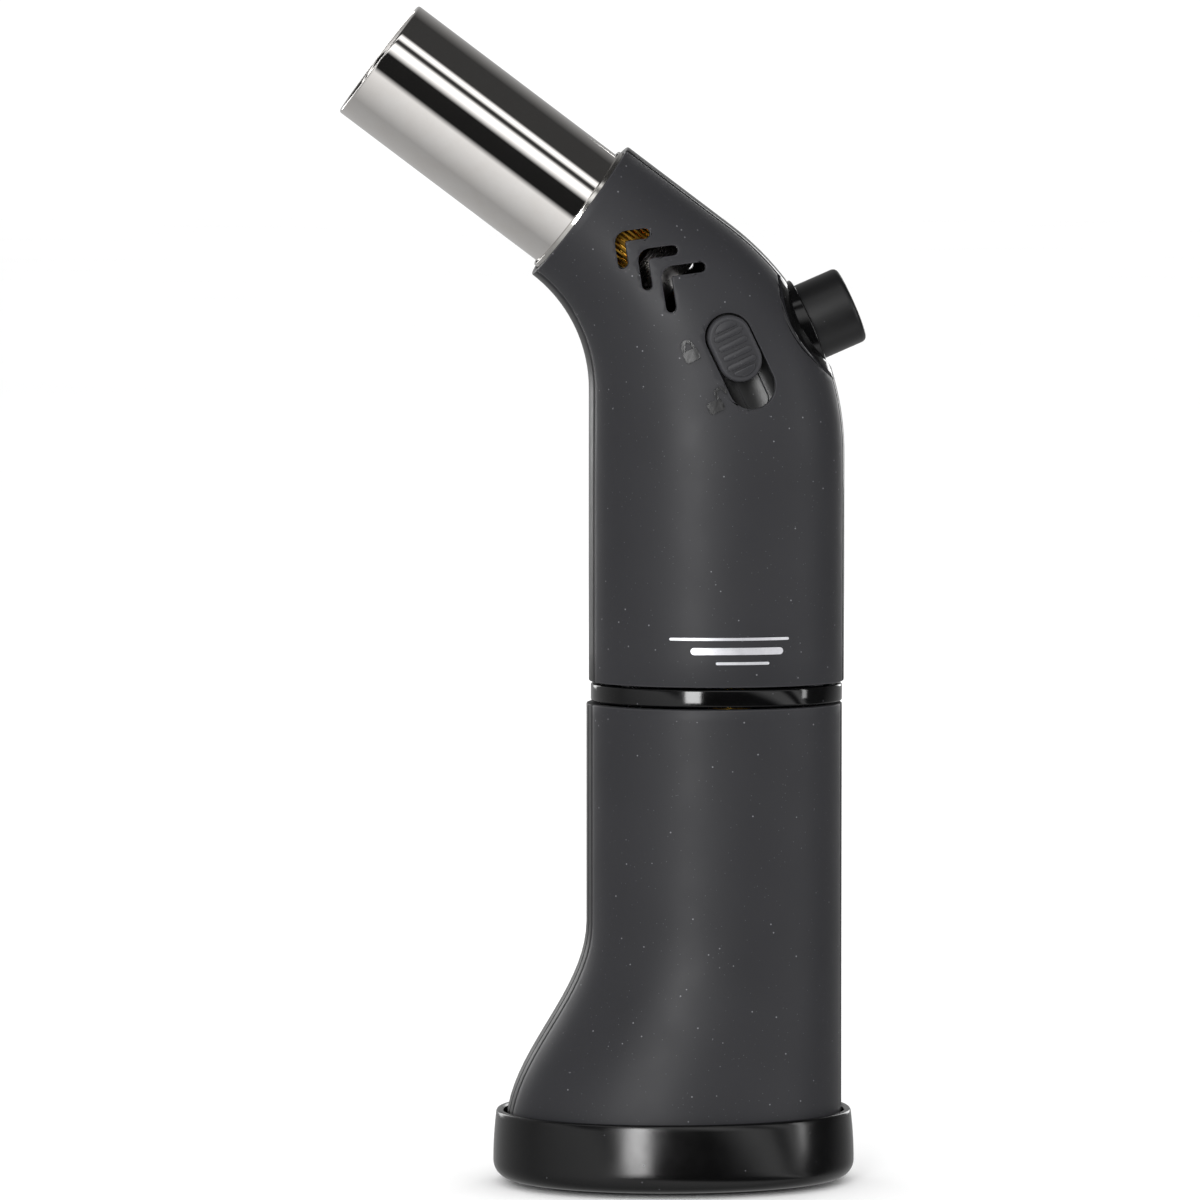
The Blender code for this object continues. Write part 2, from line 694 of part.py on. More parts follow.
def base_ring():
    belly = RING_BOTTOM_Z + RING_ROUND
    arc = [RING_BOTTOM_Z + RING_ROUND * (1.0 - math.cos(a)) for a in np.linspace(0.0, math.pi / 2.0, 6)]
    levels = arc[:-1] + list(np.linspace(belly, RING_TOP_Z, 5))
    ring = skin("base_ring", [full_ring(ring_station(z), ring_inset(z)) for z in levels], satin_black())
    inside = RING_WALL + RING_LEAN
    hollow = [full_ring(ring_station(z), inside) for z in (BASE_PLATE_Z, RING_TOP_Z + MM)]
    cut(ring, skin("tool", hollow, None))
    foot_hole = [full_ring(ring_station(z), RING_ROUND + 2.0 * MM) for z in (-MM, BASE_PLATE_Z + MM)]
    cut(ring, skin("tool", foot_hole, None))


def base_screw_places():
    return [(x, y * side) for x, y in ((-11.5 * MM, 8.5 * MM), (5.0 * MM, 8.0 * MM)) for side in (-1.0, 1.0)]


def base_plate():
    inset = RING_WALL + RING_LEAN + GAP
    low = BASE_PLATE_Z + GAP
    plate = skin("base_plate", [full_ring(ring_station(z), inset) for z in (low, low + BASE_PLATE_THICK)],
                 inner_plastic())
    for x, y, radius in [(FILL_X, 0.0, FILL_RADIUS + GAP), (DIAL_X, 0.0, DIAL_RADIUS + GAP)]:
        cut(plate, turned("tool", rod(radius, 0.0, 9.0 * MM), None, (x, y, 0.0), steps=SMALL_STEPS * 2))
    for x, y in base_screw_places():
        cut(plate, turned("tool", rod(SCREW_RADIUS + GAP / 2.0, 0.0, 9.0 * MM), None, (x, y, 0.0),
                          steps=SMALL_STEPS))
    outer = RING_ROUND + 2.0 * MM + GAP
    track = (0.0, low - GAP)
    foot = skin("foot_pad", [full_ring(ring_station(z), outer) for z in track], rubber())
    inner = [full_ring(ring_station(z), outer + FOOT_WIDTH) for z in (-MM, low + MM)]
    cut(foot, skin("tool", inner, None))
    reach = BOOT_HALF_DEPTH + RING_REACH - outer - FOOT_WIDTH / 2.0
    join(foot, box("tool", (-FOOT_RIB / 2.0, -reach, 0.0), (FOOT_RIB / 2.0, reach, low - GAP), None))
    for index, (x, y) in enumerate(base_screw_places()):
        screw(f"base_screw_{index + 1}", x, y, low - GAP, 6.0 * MM, -1.0)


# ---------------------------------------------------------------------------
# burner
# ---------------------------------------------------------------------------
TUBE_INNER = TUBE_RADIUS - TUBE_WALL
KNURL_FRONT = -(TUBE_LENGTH_IN + GAP)
KNURL_REAR = KNURL_FRONT - KNURL_LENGTH
BODY_FRONT = KNURL_REAR - GAP
BODY_REAR = BODY_FRONT - BURNER_BODY_LENGTH
JET_REAR = BODY_REAR - JET_LENGTH
SPIGOT_FRONT = KNURL_FRONT + SPIGOT_LENGTH
INSULATOR_REAR = KNURL_REAR - 1.5 * MM
INSULATOR_FRONT = HOLDER_AT - 1.2 * MM


def on_burner(name, profile, look, steps=ROUND_STEPS, rise=0.0):
    return turned(name, profile, look, burner_point(0.0, rise), OUT, steps, origin=burner_point(0.0))


def burner_tube():
    lip = TUBE_WALL * 0.45
    mouth = TUBE_LENGTH_OUT
    profile = [(TUBE_INNER, -TUBE_LENGTH_IN), (TUBE_RADIUS, -TUBE_LENGTH_IN), (TUBE_RADIUS, mouth - lip),
               (TUBE_RADIUS - lip, mouth), (TUBE_INNER + lip / 2.0, mouth), (TUBE_INNER, mouth - lip)]
    on_burner("burner_tube", profile, dark_chrome())
    inner = TUBE_RADIUS + GAP
    on_burner("tube_seat_ring", pipe(inner + SEAT_RING_THICK, inner, -2.0 * MM, 0.6 * MM), steel())


def knurled_fitting():
    """Brass nut behind the tube: straight-knurled outside, with a spigot in the tube."""
    work = bmesh.new()
    radius = TUBE_INNER - GAP
    rings = []
    for length, outer, knurled in ((KNURL_REAR, radius, True), (KNURL_FRONT, radius, True),
                                   (KNURL_FRONT, radius, False), (SPIGOT_FRONT, radius, False)):
        ring = []
        for k in range(2 * KNURL_TEETH):
            angle = math.pi * k / KNURL_TEETH
            reach = outer - (KNURL_DEPTH * (k % 2) if knurled else KNURL_DEPTH * 1.3)
            ring.append(work.verts.new((reach * math.cos(angle), reach * math.sin(angle), length)))
        rings.append(ring)
    for before, after in zip(rings, rings[1:]):
        for k in range(len(before)):
            follow = (k + 1) % len(before)
            work.faces.new([before[k], before[follow], after[follow], after[k]])
    work.faces.new(list(reversed(rings[0])))
    work.faces.new(rings[-1])
    placed(work, burner_point(0.0), OUT)
    fitting = finish("knurled_fitting", work, brass(), burner_point(0.0))
    cut(fitting, on_burner("tool", rod(MIXER_RADIUS + GAP, -40.0 * MM, 40.0 * MM), None, SMALL_STEPS * 2))
    cut(fitting, on_burner("tool", rod(INSULATOR_RADIUS + GAP, -40.0 * MM, 40.0 * MM), None, SMALL_STEPS,
                           -INSULATOR_OFFSET))


def burner_core():
    """Mixing tube, burner body, jet and flame holder along the burner's axis."""
    flange = BURNER_BODY_RADIUS - 0.2 * MM
    front = HOLDER_AT - GAP
    mixer = [(MIXER_BORE, KNURL_REAR + 0.5 * MM), (MIXER_RADIUS, KNURL_REAR + 0.5 * MM), (MIXER_RADIUS, front),
             (MIXER_BORE, front)]
    tube = on_burner("mixing_tube", mixer, steel(), SMALL_STEPS * 2)
    for k in range(4):
        spin = math.pi * k / 2.0 + math.pi / 4.0
        side = Vector((0.0, 1.0, 0.0)) * math.cos(spin) + RISE * math.sin(spin)
        hole = turned("tool", rod(1.0 * MM, 1.0 * MM, 6.0 * MM), None,
                      burner_point(SPIGOT_FRONT + 3.0 * MM), side, SMALL_STEPS)
        cut(tube, hole)
    body = [(JET_RADIUS + GAP, BODY_REAR), (BURNER_BODY_RADIUS, BODY_REAR),
            (BURNER_BODY_RADIUS, BODY_FRONT - 1.2 * MM), (flange - 0.8 * MM, BODY_FRONT), (JET_RADIUS + GAP, BODY_FRONT)]
    on_burner("burner_body", body, steel(), SMALL_STEPS * 2)
    jet = [(0.0, JET_REAR + 1.0 * MM), (0.5 * MM, JET_REAR + 1.0 * MM), (0.5 * MM, JET_REAR),
           (JET_RADIUS, JET_REAR), (JET_RADIUS, BODY_FRONT - 1.0 * MM), (0.8 * MM, BODY_FRONT + 0.2 * MM),
           (0.0, BODY_FRONT + 0.2 * MM)]
    on_burner("gas_jet", jet, brass(), SMALL_STEPS)
    holder = on_burner("flame_holder", rod(TUBE_INNER - GAP, HOLDER_AT, HOLDER_AT + HOLDER_THICK), ceramic())
    cut(holder, on_burner("tool", rod(1.3 * MM, 0.0, 40.0 * MM), None, SMALL_STEPS))
    cut(holder, on_burner("tool", rod(0.9 * MM, 0.0, 40.0 * MM), None, SMALL_STEPS, -INSULATOR_OFFSET))
    for count, radius in ((6, 3.2 * MM), (10, 5.6 * MM)):
        for k in range(count):
            angle = 2.0 * math.pi * (k + 0.5) / count - math.pi / 2.0
            middle = burner_point(0.0, radius * math.sin(angle), radius * math.cos(angle))
            cut(holder, turned("tool", rod(0.7 * MM, 0.0, 40.0 * MM), None, middle, OUT, 6))


def igniter():
    on_burner("electrode_insulator", rod(INSULATOR_RADIUS, INSULATOR_REAR, INSULATOR_FRONT), ceramic(),
              SMALL_STEPS, -INSULATOR_OFFSET)
    tip = HOLDER_AT + HOLDER_THICK
    cord("electrode", [burner_point(INSULATOR_FRONT + GAP, -INSULATOR_OFFSET),
                       burner_point(tip + 1.0 * MM, -INSULATOR_OFFSET),
                       burner_point(tip + 4.0 * MM, -INSULATOR_OFFSET + 0.6 * MM),
                       burner_point(tip + 6.0 * MM, -INSULATOR_OFFSET + 3.2 * MM)], 0.4 * MM, steel())
    piezo_end = button_point(PIEZO_FRONT + PIEZO_LENGTH - 3.0 * MM, PIEZO_HALF_HEIGHT + GAP)
    lead_start = burner_point(INSULATOR_REAR - GAP, -INSULATOR_OFFSET)
    cord("ignition_lead", [lead_start, lead_start - OUT * 1.2 * MM - RISE * 0.3 * MM,
                           lead_start - OUT * 2.2 * MM - RISE * 2.2 * MM,
                           piezo_end + PUSH_RISE * 3.0 * MM, piezo_end], 0.6 * MM, lead_cover())


# ---------------------------------------------------------------------------
# ignition button, piezo and lever
# ---------------------------------------------------------------------------
def on_button(name, profile, look, steps=ROUND_STEPS):
    return turned(name, profile, look, BUTTON, PUSH_OUT, steps)


def button_group():
    edge = 1.0 * MM
    rounded = [(BUTTON_RADIUS - edge * (1.0 - math.sin(a)) - 0.15 * MM * math.cos(a),
                BUTTON_OUT - edge * (1.0 - math.cos(a))) for a in np.linspace(math.pi / 2.0, 0.0, 5)]
    flange = BUTTON_RADIUS + BUTTON_FLANGE
    profile = [(0.0, -BUTTON_IN), (flange, -BUTTON_IN), (flange, -BUTTON_IN + BUTTON_FLANGE),
               (BUTTON_RADIUS, -BUTTON_IN + BUTTON_FLANGE)] + rounded + [(0.0, BUTTON_OUT)]
    button = on_button("ignition_button", profile, satin_black())
    end = -(LEVER_REACH - LEVER_THICK / 2.0 - GAP)
    pusher = box("tool", (-1.5 * MM, -PUSHER_OFFSET - PUSHER_HALF, end),
                 (1.5 * MM, -PUSHER_OFFSET + PUSHER_HALF, -BUTTON_IN + 0.5 * MM), None)
    pusher.matrix_world = Matrix.Identity(4)
    pusher.data.transform(Matrix.Translation(BUTTON) @ button_axes())
    bpy.context.view_layer.update()
    join(button, pusher)
    guide = BUTTON_RADIUS + RUN
    on_button("button_collar", pipe(BUTTON_COLLAR_OUTER, guide, -BUTTON_IN + BUTTON_FLANGE + GAP, 0.7 * MM),
              gloss_black())
    plunger = rod(PLUNGER_RADIUS, -PIEZO_FRONT - 2.0 * MM, -BUTTON_IN - GAP)
    on_button("piezo_plunger", plunger, inner_plastic(), SMALL_STEPS)
    coil("button_spring", 3.6 * MM, 0.35 * MM, -PIEZO_FRONT + GAP, -BUTTON_IN - GAP, 4.5, steel(), BUTTON, PUSH_OUT)
    piezo = box("piezo_body", (-PIEZO_HALF_WIDTH, -PIEZO_HALF_HEIGHT, -PIEZO_FRONT - PIEZO_LENGTH),
                (PIEZO_HALF_WIDTH, PIEZO_HALF_HEIGHT, -PIEZO_FRONT), piezo_plastic())
    piezo.data.transform(button_axes())
    piezo.location = BUTTON
    bpy.context.view_layer.update()
    bore = rod(PLUNGER_RADIUS + RUN, -PIEZO_FRONT - BUTTON_TRAVEL - 3.0 * MM, 0.0)
    cut(piezo, on_button("tool", bore, None, SMALL_STEPS))


def button_axes():
    """Local X across the torch, local Y upward and local Z out along the button."""
    return Matrix((Vector((0.0, 1.0, 0.0)), PUSH_RISE, PUSH_OUT)).transposed().to_4x4()


def gas_lever():
    half = LEVER_THICK / 2.0
    hub = 2.0 * MM
    top = LEVER + PUSH_RISE * (LEVER_LONG_ARM + 1.2 * MM)
    arm = [LEVER + PUSH_OUT * half, top + PUSH_OUT * half, top - PUSH_OUT * half, LEVER - PUSH_OUT * half]
    lever = prism("gas_lever", [(p.x, p.z) for p in arm], -2.0 * MM, 2.0 * MM, steel(), LEVER)
    short = box("tool", (LEVER.x, -3.2 * MM, LEVER.z - half), (VALVE_X + 0.9 * MM, 3.2 * MM, LEVER.z + half), None)
    notch = box("tool", (VALVE_X - 1.5 * MM, -1.5 * MM, LEVER.z - 3 * half),
                (VALVE_X + 3.0 * MM, 1.5 * MM, LEVER.z + 3 * half), None)
    across = (LEVER.x, 0.0, LEVER.z)
    join(lever, turned("tool", rod(hub, -3.2 * MM, 3.2 * MM), None, across, (0.0, 1.0, 0.0), SMALL_STEPS), short)
    cut(lever, notch)
    pin_radius = 1.2 * MM
    cut(lever, turned("tool", rod(pin_radius + 0.05 * MM, -9.0 * MM, 9.0 * MM), None, across,
                      (0.0, 1.0, 0.0), SMALL_STEPS))
    turned("lever_pin", rod(pin_radius, -4.2 * MM, FRAME_Y + FRAME_THICK), steel(), across, (0.0, 1.0, 0.0),
           SMALL_STEPS)


FRAME_Y = 6.2 * MM             # inner frame's near face
FRAME_THICK = 1.6 * MM


def inner_frame():
    """Upright plate on the deck that carries the lever's pin and the piezo."""
    def beside_piezo(inward, rise):
        where = button_point(inward, rise)
        return where.x, where.z
    foot = BAND_TOP_Z + GAP
    start = PIEZO_FRONT + 0.5 * MM
    stop = PIEZO_FRONT + PIEZO_LENGTH - 1.5 * MM
    low = -PIEZO_HALF_HEIGHT - MM
    outline = [(LEVER.x - 9.0 * MM, foot), (LEVER.x - 1.0 * MM, foot), (LEVER.x - 1.0 * MM, LEVER.z - 6.0 * MM),
               (LEVER.x + 5.0 * MM, LEVER.z - 2.0 * MM), (LEVER.x + 5.0 * MM, LEVER.z + 6.0 * MM),
               beside_piezo(start, low), beside_piezo(start, PIEZO_HALF_HEIGHT),
               beside_piezo(stop, PIEZO_HALF_HEIGHT), beside_piezo(stop, low),
               (LEVER.x - 9.0 * MM, LEVER.z)]
    frame = prism("inner_frame", outline, FRAME_Y, FRAME_Y + FRAME_THICK, inner_plastic())
    for inward in (start + 1.5 * MM, stop - 1.5 * MM):
        pad = box("tool", (PIEZO_HALF_WIDTH + GAP, -PIEZO_HALF_HEIGHT + MM, -inward - MM),
                  (FRAME_Y + 0.5 * MM, PIEZO_HALF_HEIGHT - MM, -inward + MM), None)
        pad.data.transform(Matrix.Translation(BUTTON) @ button_axes())
        join(frame, pad)
    foot_flange = box("tool", (LEVER.x - 9.0 * MM, FRAME_Y - 4.0 * MM, foot),
                      (LEVER.x - 3.0 * MM, FRAME_Y + MM, foot + 1.5 * MM), None)
    join(frame, foot_flange)
    cut(frame, turned("tool", rod(1.2 * MM + GAP, 0.0, 20.0 * MM), None, (LEVER.x, 0.0, LEVER.z),
                      (0.0, 1.0, 0.0), SMALL_STEPS))


# ---------------------------------------------------------------------------
# valve, hose and tank
# ---------------------------------------------------------------------------
LID_BOTTOM_Z = TANK_TOP_Z + GAP
SEAL_Z = LID_BOTTOM_Z + LID_THICK + GAP
SEAL_THICK = 0.9 * MM
VALVE_BOTTOM_Z = SEAL_Z + SEAL_THICK + GAP
HEAD_Z = LEVER.z + LEVER_THICK / 2.0 + 0.6 * MM
VALVE_TOP_Z = HEAD_Z - 8.0 * MM
VALVE_BORE = 2.3 * MM
VALVE_BORE_DEPTH = 9.0 * MM
CAP_THICK = 1.2 * MM
BARB_Z = BAND_TOP_Z + 5.0 * MM
TANK_GAP = WALL + 0.4 * MM


def on_valve(name, profile, look, steps=SMALL_STEPS):
    return turned(name, profile, look, (VALVE_X, 0.0, 0.0), steps=steps)


def valve_group():
    floor_z = VALVE_TOP_Z - VALVE_BORE_DEPTH
    body = [(0.0, VALVE_BOTTOM_Z), (VALVE_RADIUS, VALVE_BOTTOM_Z), (VALVE_RADIUS, VALVE_TOP_Z),
            (VALVE_BORE, VALVE_TOP_Z), (VALVE_BORE, floor_z), (0.0, floor_z)]
    valve = on_valve("valve_body", body, brass(), SMALL_STEPS * 2)
    barb = turned("tool", rod(1.3 * MM, 1.0 * MM, VALVE_RADIUS + 2.4 * MM), None, (VALVE_X, 0.0, BARB_Z),
                  (0.0, 1.0, 0.0), SMALL_STEPS)
    join(valve, barb)
    on_valve("valve_seal", pipe(VALVE_RADIUS, VALVE_RADIUS - 1.4 * MM, SEAL_Z, SEAL_Z + SEAL_THICK), rubber(),
             SMALL_STEPS * 2)
    cap_z = VALVE_TOP_Z + GAP
    on_valve("valve_cap", pipe(VALVE_RADIUS, STEM_RADIUS + RUN, cap_z, cap_z + CAP_THICK), brass(), SMALL_STEPS * 2)
    piston_z = floor_z + GAP
    piston = VALVE_BORE - GAP
    stem = [(0.0, piston_z), (piston, piston_z), (piston, piston_z + 1.6 * MM), (STEM_RADIUS, piston_z + 1.6 * MM),
            (STEM_RADIUS, HEAD_Z), (2.4 * MM, HEAD_Z), (2.4 * MM, HEAD_Z + MM), (0.0, HEAD_Z + MM)]
    on_valve("valve_stem", stem, brass(), SMALL_STEPS)
    coil("valve_spring", 1.65 * MM, 0.25 * MM, piston_z + 1.6 * MM + GAP, VALVE_TOP_Z - GAP, 5.0, steel(),
         (VALVE_X, 0.0, 0.0), (0.0, 0.0, 1.0))
    barb_end = Vector((VALVE_X, VALVE_RADIUS + 2.4 * MM + 2.0 * GAP, BARB_Z))
    jet_end = burner_point(JET_REAR - 2.0 * GAP)
    cord("gas_hose", [jet_end, jet_end - OUT * 0.9 * MM + Vector((0.0, 0.3 * MM, 0.0)),
                      jet_end + Vector((2.6 * MM, 3.6 * MM, -0.2 * MM)),
                      jet_end + Vector((3.4 * MM, 8.6 * MM, -2.4 * MM)), (jet_end.x + 3.4 * MM, 10.6 * MM, 122.0 * MM),
                      (jet_end.x + 3.8 * MM, 11.0 * MM, 106.0 * MM), (VALVE_X, 11.2 * MM, 90.0 * MM),
                      (VALVE_X, 10.2 * MM, BARB_Z + 2.2 * MM), (VALVE_X, barb_end.y + 1.4 * MM, BARB_Z), barb_end],
         1.2 * MM, rubber(), 2.0)


def tank_ring(z, inset):
    return full_ring(grip_station(z, True), inset, 12)


def fuel_tank():
    levels = lower_levels(TANK_BOTTOM_Z, TANK_TOP_Z)
    tank = skin("fuel_tank", [tank_ring(z, TANK_GAP) for z in levels], tank_plastic())
    floor_z = TANK_BOTTOM_Z + TANK_WALL
    inner = lower_levels(floor_z, TANK_TOP_Z) + [TANK_TOP_Z + MM]
    cut(tank, skin("tool", [tank_ring(z, TANK_GAP + TANK_WALL) for z in inner], None))
    cut(tank, turned("tool", rod(FILL_RADIUS + GAP, 0.0, 30.0 * MM), None, (FILL_X, 0.0, 0.0), steps=SMALL_STEPS * 2))
    skin("tank_lid", [tank_ring(z, TANK_GAP) for z in (LID_BOTTOM_Z, LID_BOTTOM_Z + LID_THICK)], tank_plastic())


def fill_valve():
    """Refill valve through the base: body, sprung stem and its spring."""
    low = BASE_PLATE_Z + 2.0 * GAP
    bore = 1.5 * MM
    body = [(bore, low), (FILL_RADIUS, low), (FILL_RADIUS, FILL_TOP_Z), (0.0, FILL_TOP_Z),
            (0.0, FILL_TOP_Z - MM), (bore, FILL_TOP_Z - MM)]
    turned("fill_valve_body", body, brass(), (FILL_X, 0.0, 0.0), steps=SMALL_STEPS * 2)
    shoulder = low + 8.0 * MM
    stem = [(0.0, low + 0.2 * MM), (0.5 * MM, low), (0.8 * MM, low), (0.8 * MM, shoulder - 2.0 * MM),
            (bore - GAP, shoulder - 2.0 * MM), (bore - GAP, shoulder), (0.0, shoulder)]
    turned("fill_valve_stem", stem, brass(), (FILL_X, 0.0, 0.0), steps=SMALL_STEPS)
    coil("fill_valve_spring", 0.85 * MM, 0.2 * MM, shoulder + GAP, FILL_TOP_Z - MM - GAP, 6.0, steel(),
         (FILL_X, 0.0, 0.0), (0.0, 0.0, 1.0))


def flame_dial():
    """Flame-height dial in the base, and the regulator it turns."""
    low = BASE_PLATE_Z + GAP
    top = low + DIAL_THICK
    work = bmesh.new()
    rings = []
    for z, reach in ((low, DIAL_RADIUS - 0.4 * MM), (low + 0.4 * MM, DIAL_RADIUS), (top, DIAL_RADIUS)):
        ring = []
        for k in range(48):
            angle = 2.0 * math.pi * k / 48
            depth = reach - (0.5 * MM if k % 2 else 0.0)
            ring.append(work.verts.new((DIAL_X + depth * math.cos(angle), depth * math.sin(angle), z)))
        rings.append(ring)
    for before, after in zip(rings, rings[1:]):
        for k in range(48):
            follow = (k + 1) % 48
            work.faces.new([before[k], before[follow], after[follow], after[k]])
    work.faces.new(list(reversed(rings[0])))
    work.faces.new(rings[-1])
    dial = finish("flame_dial", work, satin_black(), (DIAL_X, 0.0, low))
    cut(dial, box("tool", (DIAL_X - 4.5 * MM, -0.6 * MM, 0.0), (DIAL_X + 4.5 * MM, 0.6 * MM, low + 0.9 * MM), None))
    spindle = rod(1.5 * MM, top + GAP, TANK_BOTTOM_Z - 2.0 * MM)
    turned("dial_spindle", spindle, brass(), (DIAL_X, 0.0, 0.0), steps=SMALL_STEPS, origin=(DIAL_X, 0.0, low))
    cup = pipe(3.4 * MM, 1.5 * MM + RUN, BASE_PLATE_Z + BASE_PLATE_THICK + 3.0 * MM, TANK_BOTTOM_Z - GAP)
    turned("regulator_cup", cup, brass(), (DIAL_X, 0.0, 0.0), steps=SMALL_STEPS * 2)


# ---------------------------------------------------------------------------
# lock slider
# ---------------------------------------------------------------------------
SLIDER_SIDE_GAP = GAP
SLIDER_TRAVEL = (LOCK_LOW - LOCK_TOP).length - (SLIDER_LENGTH - LOCK_SLOT_WIDTH) - 2.0 * SLIDER_SIDE_GAP
CAP_DEEP = 3.1 * MM            # slider's cap below the shell's surface, past where the shell curves away
GUIDE_THICK = 1.2 * MM
NECK_WIDTH = 2.6 * MM
GUIDE_LAP = 1.5 * MM           # guide plate past the slot's edge


def lock_slider():
    """Sliding lock: ribbed cap outside, guide plate behind it, clip inside."""
    width = LOCK_SLOT_WIDTH - 2.0 * SLIDER_SIDE_GAP
    reach = (SLIDER_LENGTH - width) / 2.0
    middle = LOCK_TOP + LOCK_ALONG * (SLIDER_SIDE_GAP + SLIDER_LENGTH / 2.0 - LOCK_SLOT_WIDTH / 2.0)
    ends = [middle - LOCK_ALONG * reach, middle + LOCK_ALONG * reach]
    face = -LOCK_DEPTH - SLIDER_PROUD
    floor_y = -LOCK_DEPTH + CAP_DEEP
    cap = prism("lock_slider", flat_slot(ends, width), face, floor_y, soft_touch(), middle)
    across = Vector((-LOCK_ALONG.z, 0.0, LOCK_ALONG.x))
    for k in range(5):
        where = middle + LOCK_ALONG * (k - 2) * 1.55 * MM
        groove = [where - across * 2.2 * MM, where + across * 2.2 * MM]
        tool = prism("tool", flat_slot(groove, 0.7 * MM), face - MM, face + 0.5 * MM, None)
        cut(cap, tool)
    guide_near = floor_y + GAP
    guide_far = guide_near + GUIDE_THICK
    neck_ends = [middle - LOCK_ALONG * 1.0 * MM, middle + LOCK_ALONG * 1.0 * MM]
    join(cap, prism("tool", flat_slot(neck_ends, NECK_WIDTH), floor_y - 0.2 * MM, guide_far + GAP + 1.0 * MM, None))
    outline = flat_slot([LOCK_TOP, LOCK_LOW], LOCK_SLOT_WIDTH + 2.0 * GUIDE_LAP)
    guide = prism("slider_guide", outline, guide_near, guide_far, gloss_black())
    travel_end = middle + LOCK_ALONG * (SLIDER_TRAVEL + 1.0 * MM)
    opening = [middle - LOCK_ALONG * 1.0 * MM, travel_end]
    cut(guide, prism("tool", flat_slot(opening, NECK_WIDTH + 2.0 * GAP), guide_near - MM, guide_far + MM, None))
    clip_near = guide_far + GAP
    clip_ends = [middle - LOCK_ALONG * 1.6 * MM, middle + LOCK_ALONG * 1.6 * MM]
    clip = prism("slider_clip", flat_slot(clip_ends, 6.0 * MM), clip_near, clip_near + 0.9 * MM, steel(), middle)
    cut(clip, prism("tool", flat_slot(neck_ends, NECK_WIDTH + 2.0 * GAP), clip_near - MM, clip_near + 3.0 * MM, None))


def build():
    upper_shells()
    upper_spines()
    for side, name in ((-1.0, "lower_shell_near"), (1.0, "lower_shell_far")):
        lower_shell(name, side)
    for end, name in ((-1.0, "lower_spine_front"), (1.0, "lower_spine_back")):
        lower_spine(name, end)
    band_and_deck()
    for index, (x, y) in enumerate(deck_screw_places()):
        screw(f"deck_screw_{index + 1}", x, y, BAND_TOP_Z, 5.0 * MM, 1.0)
    base_ring()
    base_plate()
    burner_tube()
    knurled_fitting()
    burner_core()
    igniter()
    button_group()
    gas_lever()
    inner_frame()
    valve_group()
    fuel_tank()
    fill_valve()
    flame_dial()
    lock_slider()


build()
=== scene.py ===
"""Butane soldering torch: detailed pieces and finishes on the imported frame."""

import json
import math

import bmesh
import bpy
import numpy as np
from mathutils import Matrix, Vector


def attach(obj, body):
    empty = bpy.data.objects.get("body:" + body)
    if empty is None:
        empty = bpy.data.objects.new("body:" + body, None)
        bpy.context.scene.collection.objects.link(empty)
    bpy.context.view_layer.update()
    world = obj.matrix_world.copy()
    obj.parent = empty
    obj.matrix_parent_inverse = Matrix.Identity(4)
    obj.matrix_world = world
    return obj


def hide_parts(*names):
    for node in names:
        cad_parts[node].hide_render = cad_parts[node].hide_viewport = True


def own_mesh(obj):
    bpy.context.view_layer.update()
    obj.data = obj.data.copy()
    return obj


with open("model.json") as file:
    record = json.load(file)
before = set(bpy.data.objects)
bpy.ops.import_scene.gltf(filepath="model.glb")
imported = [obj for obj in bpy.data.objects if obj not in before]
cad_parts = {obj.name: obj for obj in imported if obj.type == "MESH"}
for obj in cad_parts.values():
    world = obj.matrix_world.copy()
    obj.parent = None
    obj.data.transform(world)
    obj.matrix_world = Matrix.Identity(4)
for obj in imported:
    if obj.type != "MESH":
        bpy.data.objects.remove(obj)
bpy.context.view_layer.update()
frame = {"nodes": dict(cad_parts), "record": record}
cad_nodes = frame["nodes"]

MM = 0.001
GAP = 0.3 * MM

# ---- housing, the same guiding sizes as the frame ----
GRIP_FRONT_X, GRIP_BACK_X = -19.1 * MM, 19.2 * MM
GRIP_HALF_DEPTH, GRIP_SQUARENESS = 16.0 * MM, 2.1
BURNER_TILT = math.radians(37.0)
COLLAR = Vector((-20.5, 0.0, 145.9)) * MM
COLLAR_RADIUS = 11.9 * MM
NOSE_RADIUS, BACK_RADIUS, FAN_START_Z = 21.5 * MM, 43.0 * MM, 103.0 * MM
WALL, COLLAR_WALL = 1.8 * MM, 1.1 * MM
EDGE, STRIP = 4.15 * MM, 3.85 * MM
BAND_BOTTOM_Z, BAND_TOP_Z, BAND_INSET = 72.5 * MM, 75.2 * MM, 0.25 * MM
LOWER_STEP, LOWER_SETBACK = 0.35 * MM, 0.3 * MM
TOE_X, FLARE_TOP_Z, FLARE_BOTTOM_Z, BOOT_HALF_DEPTH = -31.6 * MM, 39.5 * MM, 8.0 * MM, 19.2 * MM
RING_REACH, RING_WALL, RING_LEAN, RING_ROUND = 1.9 * MM, 1.0 * MM, 0.5 * MM, 2.6 * MM
RING_BOTTOM_Z, RING_TOP_Z, PLATE_LOW_Z, PLATE_THICK = 0.7 * MM, 11.0 * MM, 2.0 * MM, 2.2 * MM
FOOT_WIDTH, FOOT_RIB, FOOT_TOP_Z = 2.6 * MM, 3.2 * MM, 1.7 * MM
BASE_SCREWS = ((-11.5 * MM, 8.5 * MM), (5.0 * MM, 8.0 * MM))        # X, and Y to either side
FILL_X, DIAL_X, DIAL_RADIUS, DIAL_THICK = -6.0 * MM, -19.0 * MM, 6.0 * MM, 2.4 * MM

